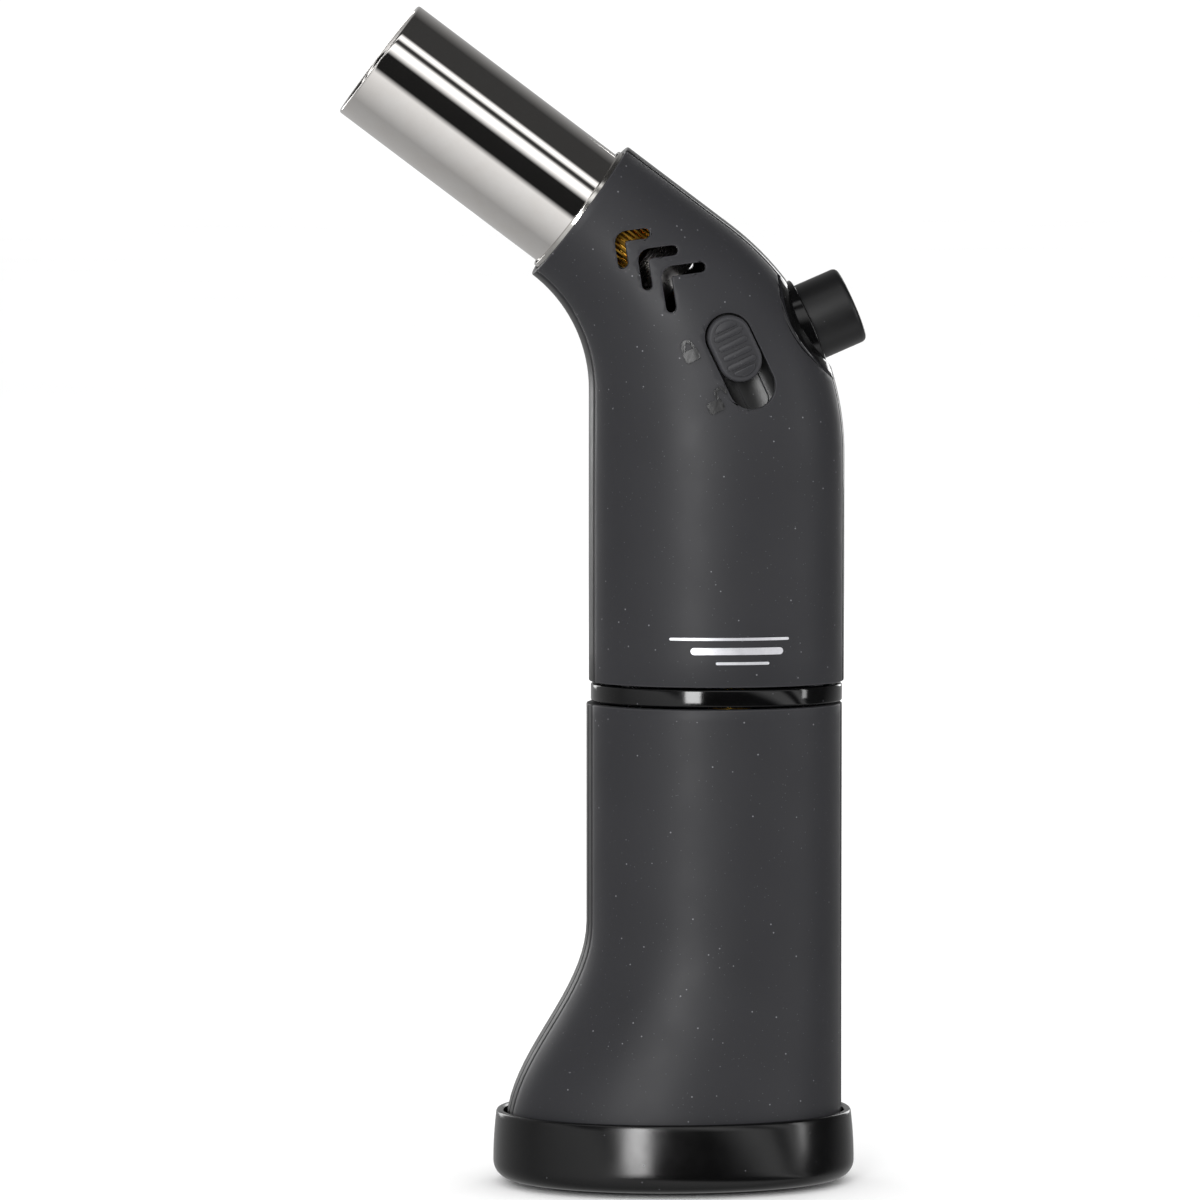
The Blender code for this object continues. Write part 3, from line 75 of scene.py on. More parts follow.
# ---- burner, button and lock slider ----
TUBE_RADIUS, TUBE_INNER, TUBE_OUT, TUBE_IN = 9.85 * MM, 9.05 * MM, 37.5 * MM, 4.5 * MM
BUTTON = Vector((13.15, 0.0, 128.8)) * MM
BUTTON_TILT = math.radians(23.5)
BUTTON_RADIUS, BUTTON_OUT, BUTTON_IN, BUTTON_FLANGE = 5.9 * MM, 7.8 * MM, 7.0 * MM, 1.5 * MM
BUTTON_GUIDE, BUTTON_RIM = 6.25 * MM, 6.95 * MM
SURROUND_RADIUS = 9.3 * MM
LOCK_TOP, LOCK_LOW = Vector((0.7, 0.0, 127.3)) * MM, Vector((4.05, 0.0, 120.2)) * MM
LOCK_SLOT_WIDTH, SLIDER_LENGTH, SLIDER_PROUD, CAP_DEEP = 7.1 * MM, 10.2 * MM, 1.0 * MM, 3.1 * MM
PLATE_LAP = 1.5 * MM               # how far the slot's floor reaches past the slot
VENT_FIRST, VENT_PITCH, VENT_SPAN, VENT_GROWTH, VENT_WIDTH = 6.4 * MM, 4.3 * MM, 2.7 * MM, 0.5 * MM, 1.5 * MM
VALVE_X = 2.007 * MM               # axis of the gas valve

OUT = Vector((-math.cos(BURNER_TILT), 0.0, math.sin(BURNER_TILT)))
RISE = Vector((math.sin(BURNER_TILT), 0.0, math.cos(BURNER_TILT)))
PUSH_OUT = Vector((math.cos(BUTTON_TILT), 0.0, math.sin(BUTTON_TILT)))
PUSH_RISE = Vector((-math.sin(BUTTON_TILT), 0.0, math.cos(BUTTON_TILT)))
LOCK_ALONG = (LOCK_LOW - LOCK_TOP).normalized()
LOCK_ACROSS = Vector((-LOCK_ALONG.z, 0.0, LOCK_ALONG.x))
UP = Vector((0.0, 0.0, 1.0))


def burner_point(out, rise=0.0, y=0.0):
    return COLLAR + OUT * out + RISE * rise + Vector((0.0, y, 0.0))


def bend_path(start_x, radius, corner):
    """Upright run, arc and straight run that end at the collar's corner."""
    centre_x = start_x - radius
    turn = math.pi / 2.0 - BURNER_TILT
    centre_z = (corner.dot(RISE) - radius - centre_x * RISE.x) / RISE.z
    upright = centre_z - FAN_START_Z
    arc_end = Vector((centre_x, 0.0, centre_z)) + RISE * radius
    total = upright + radius * turn + (corner - arc_end).dot(OUT)

    def where(share):
        run = share * total
        if run <= upright:
            return Vector((start_x, 0.0, FAN_START_Z + run))
        if run <= upright + radius * turn:
            angle = (run - upright) / radius
            return Vector((centre_x + radius * math.cos(angle), 0.0, centre_z + radius * math.sin(angle)))
        return arc_end + OUT * (run - upright - radius * turn)

    return where


front_path = bend_path(GRIP_FRONT_X, NOSE_RADIUS, COLLAR - RISE * COLLAR_RADIUS)
back_path = bend_path(GRIP_BACK_X, BACK_RADIUS, COLLAR + RISE * COLLAR_RADIUS)


def ease(share):
    share = min(max(share, 0.0), 1.0)
    return (1.0 - math.cos(math.pi * share)) / 2.0


def grip_station(z, lower=False):
    """Level section of the grip or the boot: front, back, half depth and squareness."""
    flare = ease((FLARE_TOP_Z - z) / (FLARE_TOP_Z - FLARE_BOTTOM_Z))
    front = GRIP_FRONT_X - LOWER_STEP * lower
    depth = GRIP_HALF_DEPTH + LOWER_STEP * lower / 2.0
    front += (TOE_X - front) * flare
    depth += (BOOT_HALF_DEPTH - depth) * flare
    return Vector((front, 0.0, z)), Vector((GRIP_BACK_X - LOWER_SETBACK * lower, 0.0, z)), depth, GRIP_SQUARENESS


def fan_station(share):
    """Section of the housing between the grip (share 0) and the collar (share 1)."""
    blend = ease(share)
    depth = GRIP_HALF_DEPTH + (COLLAR_RADIUS - GRIP_HALF_DEPTH) * blend
    square = GRIP_SQUARENESS + (2.0 - GRIP_SQUARENESS) * blend
    return front_path(share), back_path(share), depth, square


def ring_station(z):
    front = Vector((TOE_X - RING_REACH, 0.0, z))
    back = Vector((GRIP_BACK_X - LOWER_SETBACK + RING_REACH, 0.0, z))
    return front, back, BOOT_HALF_DEPTH + RING_REACH, GRIP_SQUARENESS


def on_section(station, inset, y):
    """Distance from the section's centre to its outline at a given y."""
    front, back, depth, square = station
    across = (back - front).length / 2.0 - inset
    share = min(abs(y) / (depth - inset), 1.0)
    return across * (1.0 - share ** square) ** (1.0 / square)


def section_point(station, along, y):
    front, back = station[0], station[1]
    return (front + back) / 2.0 + (back - front).normalized() * along + Vector((0.0, y, 0.0))


def side_arc(station, inset, edge, side, steps):
    """Outline from front to back on one side, starting and ending at |y| = edge."""
    front, back, depth, square = station
    across = (back - front).length / 2.0 - inset
    deep = depth - inset
    start = math.asin((edge / deep) ** (square / 2.0)) if edge > 0.0 else 0.0
    points = []
    for angle in np.linspace(math.pi - start, start, steps + 1):
        along = math.copysign(abs(math.cos(angle)) ** (2.0 / square), math.cos(angle)) * across
        points.append(section_point(station, along, side * abs(math.sin(angle)) ** (2.0 / square) * deep))
    return points


def full_ring(station, inset, steps):
    near = side_arc(station, inset, 0.0, -1.0, steps)
    far = side_arc(station, inset, 0.0, 1.0, steps)
    return near[:-1] + list(reversed(far[1:]))


def surface_y(x, z, side=-1.0, out=0.0):
    """Y of the housing's skin at (x, z), moved outwards by out."""
    here = Vector((x, 0.0, z))
    if z <= FAN_START_Z:
        station = grip_station(z, z < BAND_BOTTOM_Z)
    else:
        shares = np.linspace(0.0, 1.0, 240)
        off = [abs((here - front_path(s)).cross((back_path(s) - front_path(s)).normalized()).length) for s in shares]
        station = fan_station(float(shares[int(np.argmin(off))]))
    centre = (station[0] + station[1]) / 2.0
    across = (station[1] - station[0]).length / 2.0
    along = min((here - centre).length / across, 0.999)
    return side * (station[2] * (1.0 - along ** station[3]) ** (1.0 / station[3]) + out)


LOCK_DEPTH = -surface_y((LOCK_TOP.x + LOCK_LOW.x) / 2.0, (LOCK_TOP.z + LOCK_LOW.z) / 2.0)


# ---- mesh making ----
def loft(rings, looped=False):
    """Solid through rings of matching points: capped at both ends, or closed on itself."""
    work = bmesh.new()
    loops = [[work.verts.new(p) for p in ring] for ring in rings]
    for before, after in zip(loops, loops[1:] + (loops[:1] if looped else [])):
        for k in range(len(before)):
            follow = (k + 1) % len(before)
            work.faces.new([before[k], before[follow], after[follow], after[k]])
    if not looped:
        work.faces.new(list(reversed(loops[0])))
        work.faces.new(loops[-1])
    return work


def axes(direction):
    """Rotation whose local +Z is the direction, with local +Y across the torch where it can be."""
    along = Vector(direction).normalized()
    across = Vector((0.0, 1.0, 0.0)) if abs(along.y) < 0.9 else UP
    side = across.cross(along).normalized()
    return Matrix((side, along.cross(side), along)).transposed().to_4x4()


def standing(point, direction=UP):
    return Matrix.Translation(Vector(point)) @ axes(direction)


def lathe(profile, point, direction=UP, steps=64):
    """Closed outline of (radius, height) pairs turned about an axis."""
    work = bmesh.new()
    rings = []
    for radius, height in profile:
        if radius < 1e-9:
            rings.append([work.verts.new((0.0, 0.0, height))])
            continue
        turn = [2.0 * math.pi * k / steps for k in range(steps)]
        rings.append([work.verts.new((radius * math.cos(a), radius * math.sin(a), height)) for a in turn])
    for index, ring in enumerate(rings):
        after = rings[(index + 1) % len(rings)]
        if len(ring) == 1 and len(after) == 1:
            continue
        for k in range(steps):
            corners = [ring[k % len(ring)], ring[(k + 1) % len(ring)],
                       after[(k + 1) % len(after)], after[k % len(after)]]
            work.faces.new(list(dict.fromkeys(corners)))
    work.transform(standing(point, direction))
    return work


def rod(radius, low, high, edge=0.0):
    """Profile of a solid rod with eased ends."""
    if edge == 0.0:
        return [(0.0, low), (radius, low), (radius, high), (0.0, high)]
    return [(0.0, low), (radius - edge, low), (radius, low + edge), (radius, high - edge),
            (radius - edge, high), (0.0, high)]


def eased(radius, height, edge, steps=4):
    """Quarter-round corner between a side of that radius and a face at that height."""
    turns = [math.pi / 2.0 * k / steps for k in range(steps + 1)]
    return [(radius - edge * (1.0 - math.cos(a)), height - edge * (1.0 - math.sin(a))) for a in turns]


def block(low, high, place=Matrix.Identity(4)):
    work = bmesh.new()
    bmesh.ops.create_cube(work, size=1.0)
    size, middle = Vector(high) - Vector(low), (Vector(high) + Vector(low)) / 2.0
    work.transform(place @ Matrix.Translation(middle) @ Matrix.Diagonal((*size, 1.0)))
    return work


def outline_of(path, width, arc=8):
    """Points around a slot of constant width along a path in the XZ plane, with round ends."""
    half = width / 2.0
    left, right = [], []
    for index, point in enumerate(path):
        before = (point - path[index - 1]).normalized() if index else None
        after = (path[index + 1] - point).normalized() if index + 1 < len(path) else None
        tangent = ((before or after) + (after or before)).normalized()
        normal = Vector((-tangent.z, 0.0, tangent.x))
        stretch = half / tangent.dot(before or after)
        left.append(point + normal * stretch)
        right.append(point - normal * stretch)

    def cap(end, inner):
        tangent = (end - inner).normalized()
        normal = Vector((-tangent.z, 0.0, tangent.x))
        turns = [math.radians(90.0 - 180.0 * k / arc) for k in range(1, arc)]
        return [end + (tangent * math.cos(a) + normal * math.sin(a)) * half for a in turns]

    return left + cap(path[-1], path[-2]) + list(reversed(right)) + cap(path[0], path[1])


def prism(outline, low_y, high_y):
    """Outline in the XZ plane extruded across Y."""
    return loft([[Vector((p.x, y, p.z)) for p in outline] for y in (low_y, high_y)])


def shaped(work):
    """Object from a bmesh, with its faces turned outwards."""
    bmesh.ops.remove_doubles(work, verts=work.verts, dist=1e-7)
    bmesh.ops.recalc_face_normals(work, faces=work.faces)
    mesh = bpy.data.meshes.new("made")
    work.to_mesh(mesh)
    work.free()
    made = bpy.data.objects.new("made", mesh)
    bpy.context.scene.collection.objects.link(made)
    return made


def settled(made):
    """Modifiers applied to the mesh, and none left."""
    bpy.context.view_layer.update()
    ready = made.evaluated_get(bpy.context.evaluated_depsgraph_get())
    mesh = bpy.data.meshes.new_from_object(ready)
    made.modifiers.clear()
    made.data = mesh
    return made


def boolean(target, tool_work, operation="DIFFERENCE"):
    tool = shaped(tool_work)
    change = target.modifiers.new("boolean", "BOOLEAN")
    change.operation, change.solver, change.object = operation, "EXACT", tool
    settled(target)
    bpy.data.objects.remove(tool, do_unlink=True)
    return target


def soften(made, width, angle=38.0, steps=2):
    """Rounds every sharp edge and marks the rounding, which is where a finish rubs through."""
    work = bmesh.new()
    work.from_mesh(made.data)
    bmesh.ops.remove_doubles(work, verts=work.verts, dist=width * 0.12)
    bmesh.ops.dissolve_degenerate(work, edges=work.edges, dist=width * 0.12)
    rub = work.faces.layers.float.new("rub")
    sharp = [e for e in work.edges if e.is_manifold and e.calc_face_angle(0.0) > math.radians(angle)]
    grown = bmesh.ops.bevel(work, geom=sharp, offset=width, segments=steps, profile=0.5,
                            affect="EDGES", clamp_overlap=False)
    for face in grown["faces"]:
        face[rub] = 1.0
    work.to_mesh(made.data)
    work.free()
    return made


def merged(*objects):
    """One object from several, with their meshes side by side."""
    work = bmesh.new()
    for each in objects:
        work.from_mesh(each.data)
        bpy.data.objects.remove(each, do_unlink=True)
    mesh = bpy.data.meshes.new("made")
    work.to_mesh(mesh)
    work.free()
    made = bpy.data.objects.new("made", mesh)
    bpy.context.scene.collection.objects.link(made)
    return made


def fitted(made, name, look, body, slot, *replaced, smooth=34.0):
    """Names a finished piece, gives it its finish and hands it to its body."""
    made.name = name
    made.data.name = name
    made.data.materials.clear()
    made.data.materials.append(look)
    made.data.polygons.foreach_set("material_index", [0] * len(made.data.polygons))
    made.data.shade_smooth()
    made.data.set_sharp_from_angle(angle=math.radians(smooth))
    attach(made, body)
    if replaced:
        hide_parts(*replaced)
    return made


# ---- node trees ----
def add(tree, kind, settings=None, links=None):
    """Adds a node with its settings and the sockets that feed it."""
    node = tree.nodes.new(kind)
    for key, value in (settings or {}).items():
        if isinstance(key, int) or key in node.inputs:
            node.inputs[key].default_value = value
        else:
            setattr(node, key, value)
    for key, source in (links or {}).items():
        tree.links.new(source, node.inputs[key])
    return node


def growing_tree(name, *sizes):
    """Geometry node tree with named inputs; returns it, the inputs' values and its output node."""
    tree = bpy.data.node_groups.new(name, "GeometryNodeTree")
    tree.interface.new_socket("Geometry", in_out="INPUT", socket_type="NodeSocketGeometry")
    for label, kind in sizes:
        tree.interface.new_socket(label, in_out="INPUT", socket_type="NodeSocket" + kind)
    tree.interface.new_socket("Geometry", in_out="OUTPUT", socket_type="NodeSocketGeometry")
    return tree, add(tree, "NodeGroupInput").outputs, add(tree, "NodeGroupOutput")


def grow(tree, values, seed=None, place=None):
    """Mesh object that the tree grows, with its place in its mesh."""
    made = seed or shaped(bmesh.new())
    change = made.modifiers.new("grow", "NODES")
    change.node_group = tree
    for item in tree.interface.items_tree:
        if item.in_out == "INPUT" and item.name in values:
            change[item.identifier] = values[item.name]
    settled(made)
    if place is not None:
        made.data.transform(place)
    return made


def finish_tree(tree, group_out, geometry, look):
    """Ends a tree: real geometry, one material."""
    real = add(tree, "GeometryNodeRealizeInstances", links={"Geometry": geometry})
    dressed = add(tree, "GeometryNodeSetMaterial", links={"Geometry": real.outputs[0], "Material": look})
    tree.links.new(dressed.outputs[0], group_out.inputs[0])


# ---- finishes ----
def srgb(code):
    """Linear colour from an sRGB hex value."""
    parts = [int(code[k:k + 2], 16) / 255.0 for k in (1, 3, 5)]
    return (*(c / 12.92 if c <= 0.04045 else ((c + 0.055) / 1.055) ** 2.4 for c in parts), 1.0)


def per_mm(size):
    """Pattern scale whose features are that many millimetres apart."""
    return 1.0 / (size * MM)


def finish(name, **sockets):
    """Principled finish with its whole-surface values set on the shader's own sockets."""
    made = bpy.data.materials.new(name)
    made.use_nodes = True
    tree = made.node_tree
    tree.nodes.clear()
    shader = add(tree, "ShaderNodeBsdfPrincipled", {k.replace("_", " "): v for k, v in sockets.items()})
    end = add(tree, "ShaderNodeOutputMaterial")
    tree.links.new(shader.outputs[0], end.inputs[0])
    place = add(tree, "ShaderNodeTexCoord").outputs["Object"]
    return made, tree, shader, place


def noise(tree, place, size, detail=3.0, rough=0.55):
    """Noise with features of that size in millimetres."""
    return add(tree, "ShaderNodeTexNoise", {"Scale": per_mm(size), "Detail": detail, "Roughness": rough},
               {"Vector": place}).outputs["Fac"]


def spread(tree, source, low, high, dark, light):
    """Ramp of a pattern between two values or two colours."""
    ramp = add(tree, "ShaderNodeValToRGB", links={"Fac": source})
    for element, where, value in zip(ramp.color_ramp.elements, (low, high), (dark, light)):
        element.position = where
        element.color = srgb(value) if isinstance(value, str) else (value, value, value, 1.0)
    return ramp.outputs["Color"]


def over(tree, share, below, above):
    """Two colours mixed by a pattern."""
    mix = add(tree, "ShaderNodeMix", {"data_type": "RGBA"}, {0: share, 6: below})
    if isinstance(above, str):
        mix.inputs[7].default_value = srgb(above)
    else:
        tree.links.new(above, mix.inputs[7])
    return mix.outputs[2]


def relief(tree, shader, height, depth, strength=1.0):
    """Bump of that depth in millimetres."""
    bump = add(tree, "ShaderNodeBump", {"Strength": strength, "Distance": depth * MM}, {"Height": height})
    tree.links.new(bump.outputs[0], shader.inputs["Normal"])


def specks(tree, place, apart, reach, share):
    """Sparse round specks: apart and reach are in millimetres, share is how far they cover."""
    cells = add(tree, "ShaderNodeTexVoronoi", {"Scale": per_mm(apart), "Randomness": 1.0}, {"Vector": place})
    return spread(tree, cells.outputs["Distance"], reach / apart * 0.6, reach / apart, share, 0.0)


def rubbed(tree, share):
    """How far the paint is worn on the rounded edges that a hand or a bench rubs."""
    edge = add(tree, "ShaderNodeAttribute", {"attribute_name": "rub"}).outputs["Fac"]
    return add(tree, "ShaderNodeMath", {"operation": "MULTIPLY", 1: share}, {0: edge}).outputs[0]


def soft_touch_paint():
    """Rubbery polyurethane paint on moulded ABS: a dead matt black that lifts to a soft grey sheen
    towards the edges, with fine dust held by its tacky skin."""
    made, tree, shader, place = finish("soft_touch_paint", Roughness=0.56, IOR=1.5, Specular_IOR_Level=0.28,
                                       Sheen_Weight=0.02, Sheen_Roughness=0.5)
    tone = spread(tree, noise(tree, place, 26.0, 2.0), 0.3, 0.7, "#232326", "#27272a")
    tone = over(tree, rubbed(tree, 0.55), tone, "#343437")
    tone = over(tree, specks(tree, place, 2.1, 0.14, 0.42), tone, "#9a9a9f")        # dust
    tone = over(tree, specks(tree, place, 0.9, 0.085, 0.3), tone, "#6d6d72")        # fluff
    tree.links.new(tone, shader.inputs["Base Color"])
    grain = noise(tree, place, 0.22, 2.0)       # spray grain of about 0.1 mm, drawn at 0.22 mm to show
    matt = spread(tree, noise(tree, place, 9.0, 4.0), 0.3, 0.75, 0.44, 0.52)
    tree.links.new(matt, shader.inputs["Roughness"])
    relief(tree, shader, grain, 0.012, 0.5)
    return made


def moulded_black(name, colour, light, low, high, grain=0.0):
    """Injection-moulded black ABS: the mould's polish sets its gloss; handling leaves faint wipes."""
    made, tree, shader, place = finish(name, IOR=1.53, Specular_IOR_Level=0.38)
    tone = spread(tree, noise(tree, place, 14.0), 0.3, 0.7, colour, light)
    tone = over(tree, rubbed(tree, 0.45), tone, "#242427")
    tone = over(tree, specks(tree, place, 2.4, 0.12, 0.4), tone, "#77777c")
    tree.links.new(tone, shader.inputs["Base Color"])
    tree.links.new(spread(tree, noise(tree, place, 7.0, 5.0, 0.65), 0.3, 0.75, low, high), shader.inputs["Roughness"])
    if grain:
        relief(tree, shader, noise(tree, place, 0.25, 2.0), grain, 0.4)
    else:
        relief(tree, shader, noise(tree, place, 6.0, 2.0), 0.01, 0.35)
    return made


def turned_metal(name, colour, shade, low, high, centre, direction, pitch, depth, wear="#5b5148", spotted=0.5):
    """Lathe-turned metal: rings round its axis a fixed pitch apart, which stretch each highlight."""
    made, tree, shader, place = finish(name, Metallic=1.0)
    turn = axes(direction).inverted().to_euler()
    moved = add(tree, "ShaderNodeVectorMath", {"operation": "SUBTRACT", 1: tuple(centre)}, {0: place})
    level = add(tree, "ShaderNodeMapping", {"vector_type": "POINT", "Rotation": tuple(turn)},
                {"Vector": moved.outputs[0]})
    high_part = add(tree, "ShaderNodeSeparateXYZ", links={0: level.outputs[0]}).outputs["Z"]
    rings = add(tree, "ShaderNodeTexNoise", {"noise_dimensions": "1D", "Scale": 1.0, "Detail": 2.0},
                {"W": add(tree, "ShaderNodeMath", {"operation": "MULTIPLY", 1: per_mm(pitch)},
                          {0: high_part}).outputs[0]}).outputs["Fac"]
    stain = noise(tree, place, 3.5, 4.0, 0.6)
    tone = spread(tree, stain, 0.35, 0.75, colour, shade)
    spot = spread(tree, noise(tree, place, 1.1, 5.0, 0.7), 0.62, 0.8, 0.0, spotted)
    tree.links.new(over(tree, spot, tone, wear), shader.inputs["Base Color"])
    tree.links.new(spread(tree, stain, 0.3, 0.7, low, high), shader.inputs["Roughness"])
    relief(tree, shader, rings, depth, 0.6)
    return made


def speckled(name, colour, light, dark, size, low, high, depth, **sockets):
    """Fired, cast or moulded material whose own grain shows: a tone, its flecks and a fine relief."""
    made, tree, shader, place = finish(name, **sockets)
    tone = spread(tree, noise(tree, place, size * 8.0), 0.3, 0.7, colour, light)
    fleck = spread(tree, noise(tree, place, size, 4.0, 0.7), 0.58, 0.75, 0.0, 0.7)
    tree.links.new(over(tree, fleck, tone, dark), shader.inputs["Base Color"])
    tree.links.new(spread(tree, noise(tree, place, size * 5.0), 0.3, 0.7, low, high), shader.inputs["Roughness"])
    relief(tree, shader, noise(tree, place, size, 3.0), depth, 0.6)
    return made


SOFT_TOUCH = soft_touch_paint()
# Four mould polishes of one black ABS, from a wet-looking mirror to a dry matt that holds no clear reflection.
GLOSS_ABS = moulded_black("polished_black_abs", "#050505", "#080809", 0.07, 0.14)
SATIN_ABS = moulded_black("satin_black_abs", "#0e0e0f", "#131314", 0.3, 0.42, 0.012)
BASE_ABS = moulded_black("half_gloss_black_abs", "#040404", "#070708", 0.17, 0.27, 0.004)
STRIP_ABS = moulded_black("matt_black_abs", "#131314", "#18181a", 0.4, 0.52, 0.015)
# Black-nickel plate over polished steel tube: a mirror with a warm grey cast, dulled in faint wipes.
TUBE_PLATE = turned_metal("black_nickel_plate", "#f4f1ee", "#f0ece8", 0.03, 0.055, burner_point(0.0), OUT,
                          1.6, 0.0008, "#c5bdb7", 0.12)
# Bright nickel plate: clean and silvery, with soft streaks round the ring.
RING_PLATE = turned_metal("bright_nickel_plate", "#dcdad6", "#c2bfba", 0.12, 0.2, burner_point(0.0), OUT, 0.3, 0.004)
# Knurled brass, browned by heat: warm glints on the crests, dark between them.
BURNER_BRASS = turned_metal("knurled_brass", "#c79a3e", "#8f6a26", 0.24, 0.4, burner_point(0.0), OUT, 0.25, 0.01,
                            "#4a3416")
# Turned stainless steel: fine tool rings that draw each highlight out sideways.
BURNER_STEEL = turned_metal("turned_stainless_steel", "#c9c7c3", "#98959a", 0.2, 0.36, burner_point(0.0), OUT,
                            0.22, 0.012)
# Turned brass that has stayed cool: yellow, with a slight tarnish.
VALVE_BRASS = turned_metal("turned_valve_brass", "#c9a04a", "#9c7830", 0.22, 0.38, (VALVE_X, 0.0, 0.0), UP, 0.25,
                           0.01, "#5a431e")
# Zinc-plated screw steel is pale and slightly cloudy; drawn spring wire is darker and smoother.
SCREW_STEEL = turned_metal("zinc_plated_steel", "#bfc0c3", "#8f9094", 0.25, 0.42, (0.0, 0.0, 0.0), UP, 0.2, 0.006)
SPRING_STEEL = turned_metal("drawn_spring_steel", "#a7a8ab", "#7c7d82", 0.22, 0.34, (0.0, 0.0, 0.0), UP, 0.3, 0.004)
# Fired cordierite, off-white and sandy to the eye, scorched in flecks by the flame.
CERAMIC = speckled("fired_cordierite", "#d3cab8", "#bfb5a2", "#6c6152", 0.3, 0.62, 0.8, 0.03)
# Glazed alumina: cream white under a smooth, glassy glaze.
GLAZED = speckled("glazed_alumina", "#e6e1d6", "#dad4c6", "#a79f90", 0.5, 0.18, 0.3, 0.006)
# Nitrile rubber, dull and dusty, with a slight bloom.
RUBBER = speckled("nitrile_rubber", "#1b1b1c", "#242426", "#38383a", 0.35, 0.7, 0.88, 0.02)
# Moulded acetal: milky and slightly see-through at its surface, with a waxy gloss.
TANK_ACETAL = speckled("frosted_acetal", "#a9adb0", "#b8bcbf", "#90959a", 0.6, 0.28, 0.42, 0.01,
                       Subsurface_Weight=0.15, Subsurface_Scale=0.002)
# Glass-filled nylon: dull black with a grey mottle of fibres at its skin.
NYLON = speckled("glass_filled_nylon", "#232326", "#2c2c30", "#47474b", 0.25, 0.45, 0.6, 0.015)
# Moulded PBT of the sparker's case: dark blue, half gloss.
PIEZO_PBT = speckled("moulded_pbt", "#16202e", "#1c2a3c", "#2c3a4e", 0.4, 0.32, 0.45, 0.01)
# Silicone cover of the ignition lead: deep red, soft and a little dusty.
SILICONE = speckled("silicone_lead_cover", "#8f1b14", "#a62419", "#5d120d", 0.4, 0.38, 0.5, 0.008)
# Pad-printed silver ink: fine metal flakes in lacquer, brighter than paint and duller than plate.
SILVER_INK = speckled("pad_printed_silver_ink", "#d4d4d8", "#c6c6cb", "#9a9aa0", 0.2, 0.34, 0.46, 0.004, Metallic=0.6)


# ---- housing ----
ARC_STEPS = 40


def upper_sections():
    """Sections and wall thicknesses up the upper housing."""
    sections = []
    for z in np.linspace(BAND_TOP_Z + GAP, FAN_START_Z, 7)[:-1]:
        share = (z - BAND_TOP_Z - GAP) / (FAN_START_Z - BAND_TOP_Z - GAP) * 2.0 / 18.0
        sections.append((grip_station(z), WALL + (COLLAR_WALL - WALL) * ease(share)))
    for s in np.linspace(0.0, 1.0, 45):
        sections.append((fan_station(s), WALL + (COLLAR_WALL - WALL) * ease((2.0 + 16.0 * s) / 18.0)))
    return sections


UPPER = upper_sections()
LOWER = [(grip_station(z, True), WALL) for z in np.linspace(FLARE_BOTTOM_Z, BAND_BOTTOM_Z - GAP, 40)]


def side_shell(sections, side):
    rings = []
    for station, wall in sections:
        outside = side_arc(station, 0.0, EDGE, side, ARC_STEPS)
        rings.append(outside + list(reversed(side_arc(station, wall, EDGE, side, ARC_STEPS))))
    return shaped(loft(rings))


def button_bore(radius, inward, outward):
    return lathe(rod(radius, -inward, outward), BUTTON, PUSH_OUT, 96)


def vent(index, side):
    """Chevron vent with a round elbow that points at the burner."""
    elbow = -(VENT_FIRST + index * VENT_PITCH)
    span = VENT_SPAN + index * VENT_GROWTH
    ends = [burner_point(elbow - span, span), burner_point(elbow - span, -span)]
    corner, turn = burner_point(elbow + 0.1 * MM), 1.3 * MM
    near = [corner + (end - corner).normalized() * turn for end in ends]
    bend = [near[0] * (1 - t) ** 2 + corner * 2 * t * (1 - t) + near[1] * t ** 2 for t in np.linspace(0.0, 1.0, 7)]
    reach = sorted((side * 4.0 * MM, side * (GRIP_HALF_DEPTH + 5.0 * MM)))
    return prism(outline_of([ends[0]] + bend + [ends[1]], VENT_WIDTH), *reach)


def lock_outline(width):
    """Round-ended outline along the lock's travel."""
    return outline_of([LOCK_TOP, LOCK_LOW], width, 24)


def upper_shell(side):
    shell = side_shell(UPPER, side)
    boolean(shell, button_bore(SURROUND_RADIUS + GAP, 12.0 * MM, 12.0 * MM))
    for index in range(3):
        boolean(shell, vent(index, side))
    if side < 0.0:
        boolean(shell, prism(lock_outline(LOCK_SLOT_WIDTH), -21.0 * MM, -LOCK_DEPTH + 5.0 * MM))
        seat = lock_outline(LOCK_SLOT_WIDTH + 2.0 * (PLATE_LAP + GAP))
        boolean(shell, prism(seat, -LOCK_DEPTH + CAP_DEEP, -LOCK_DEPTH + 7.0 * MM))
    return soften(shell, 0.2 * MM)


fitted(upper_shell(-1.0), "upper_side_near", SOFT_TOUCH, "housing", "soft_touch", "upper_shell_near")
fitted(upper_shell(1.0), "upper_side_far", SOFT_TOUCH, "housing", "soft_touch", "upper_shell_far")
for side, name in ((-1.0, "near"), (1.0, "far")):
    fitted(soften(side_shell(LOWER, side), 0.22 * MM), "lower_side_" + name, SOFT_TOUCH, "housing", "soft_touch",
           "lower_shell_" + name)


def spine(sections, half, end, steps=12, flutes=()):
    """Slice of wall down the front (end -1) or back (end 1), with fine grooves at the flutes."""
    widths = list(np.linspace(-half, half, steps + 1))
    for flute in flutes:
        widths += [flute - 0.22 * MM, flute, flute + 0.22 * MM]
    widths = sorted(set(round(w, 7) for w in widths))
    rings = []
    for station, wall in sections:
        deep = [0.22 * MM if any(abs(y - f) < 1e-6 for f in flutes) else 0.0 for y in widths]
        skin = [section_point(station, end * (on_section(station, 0.0, y) - d), y) for y, d in zip(widths, deep)]
        inside = [section_point(station, end * on_section(station, wall, y), y) for y in widths]
        rings.append(skin + list(reversed(inside)))
    return shaped(loft(rings))


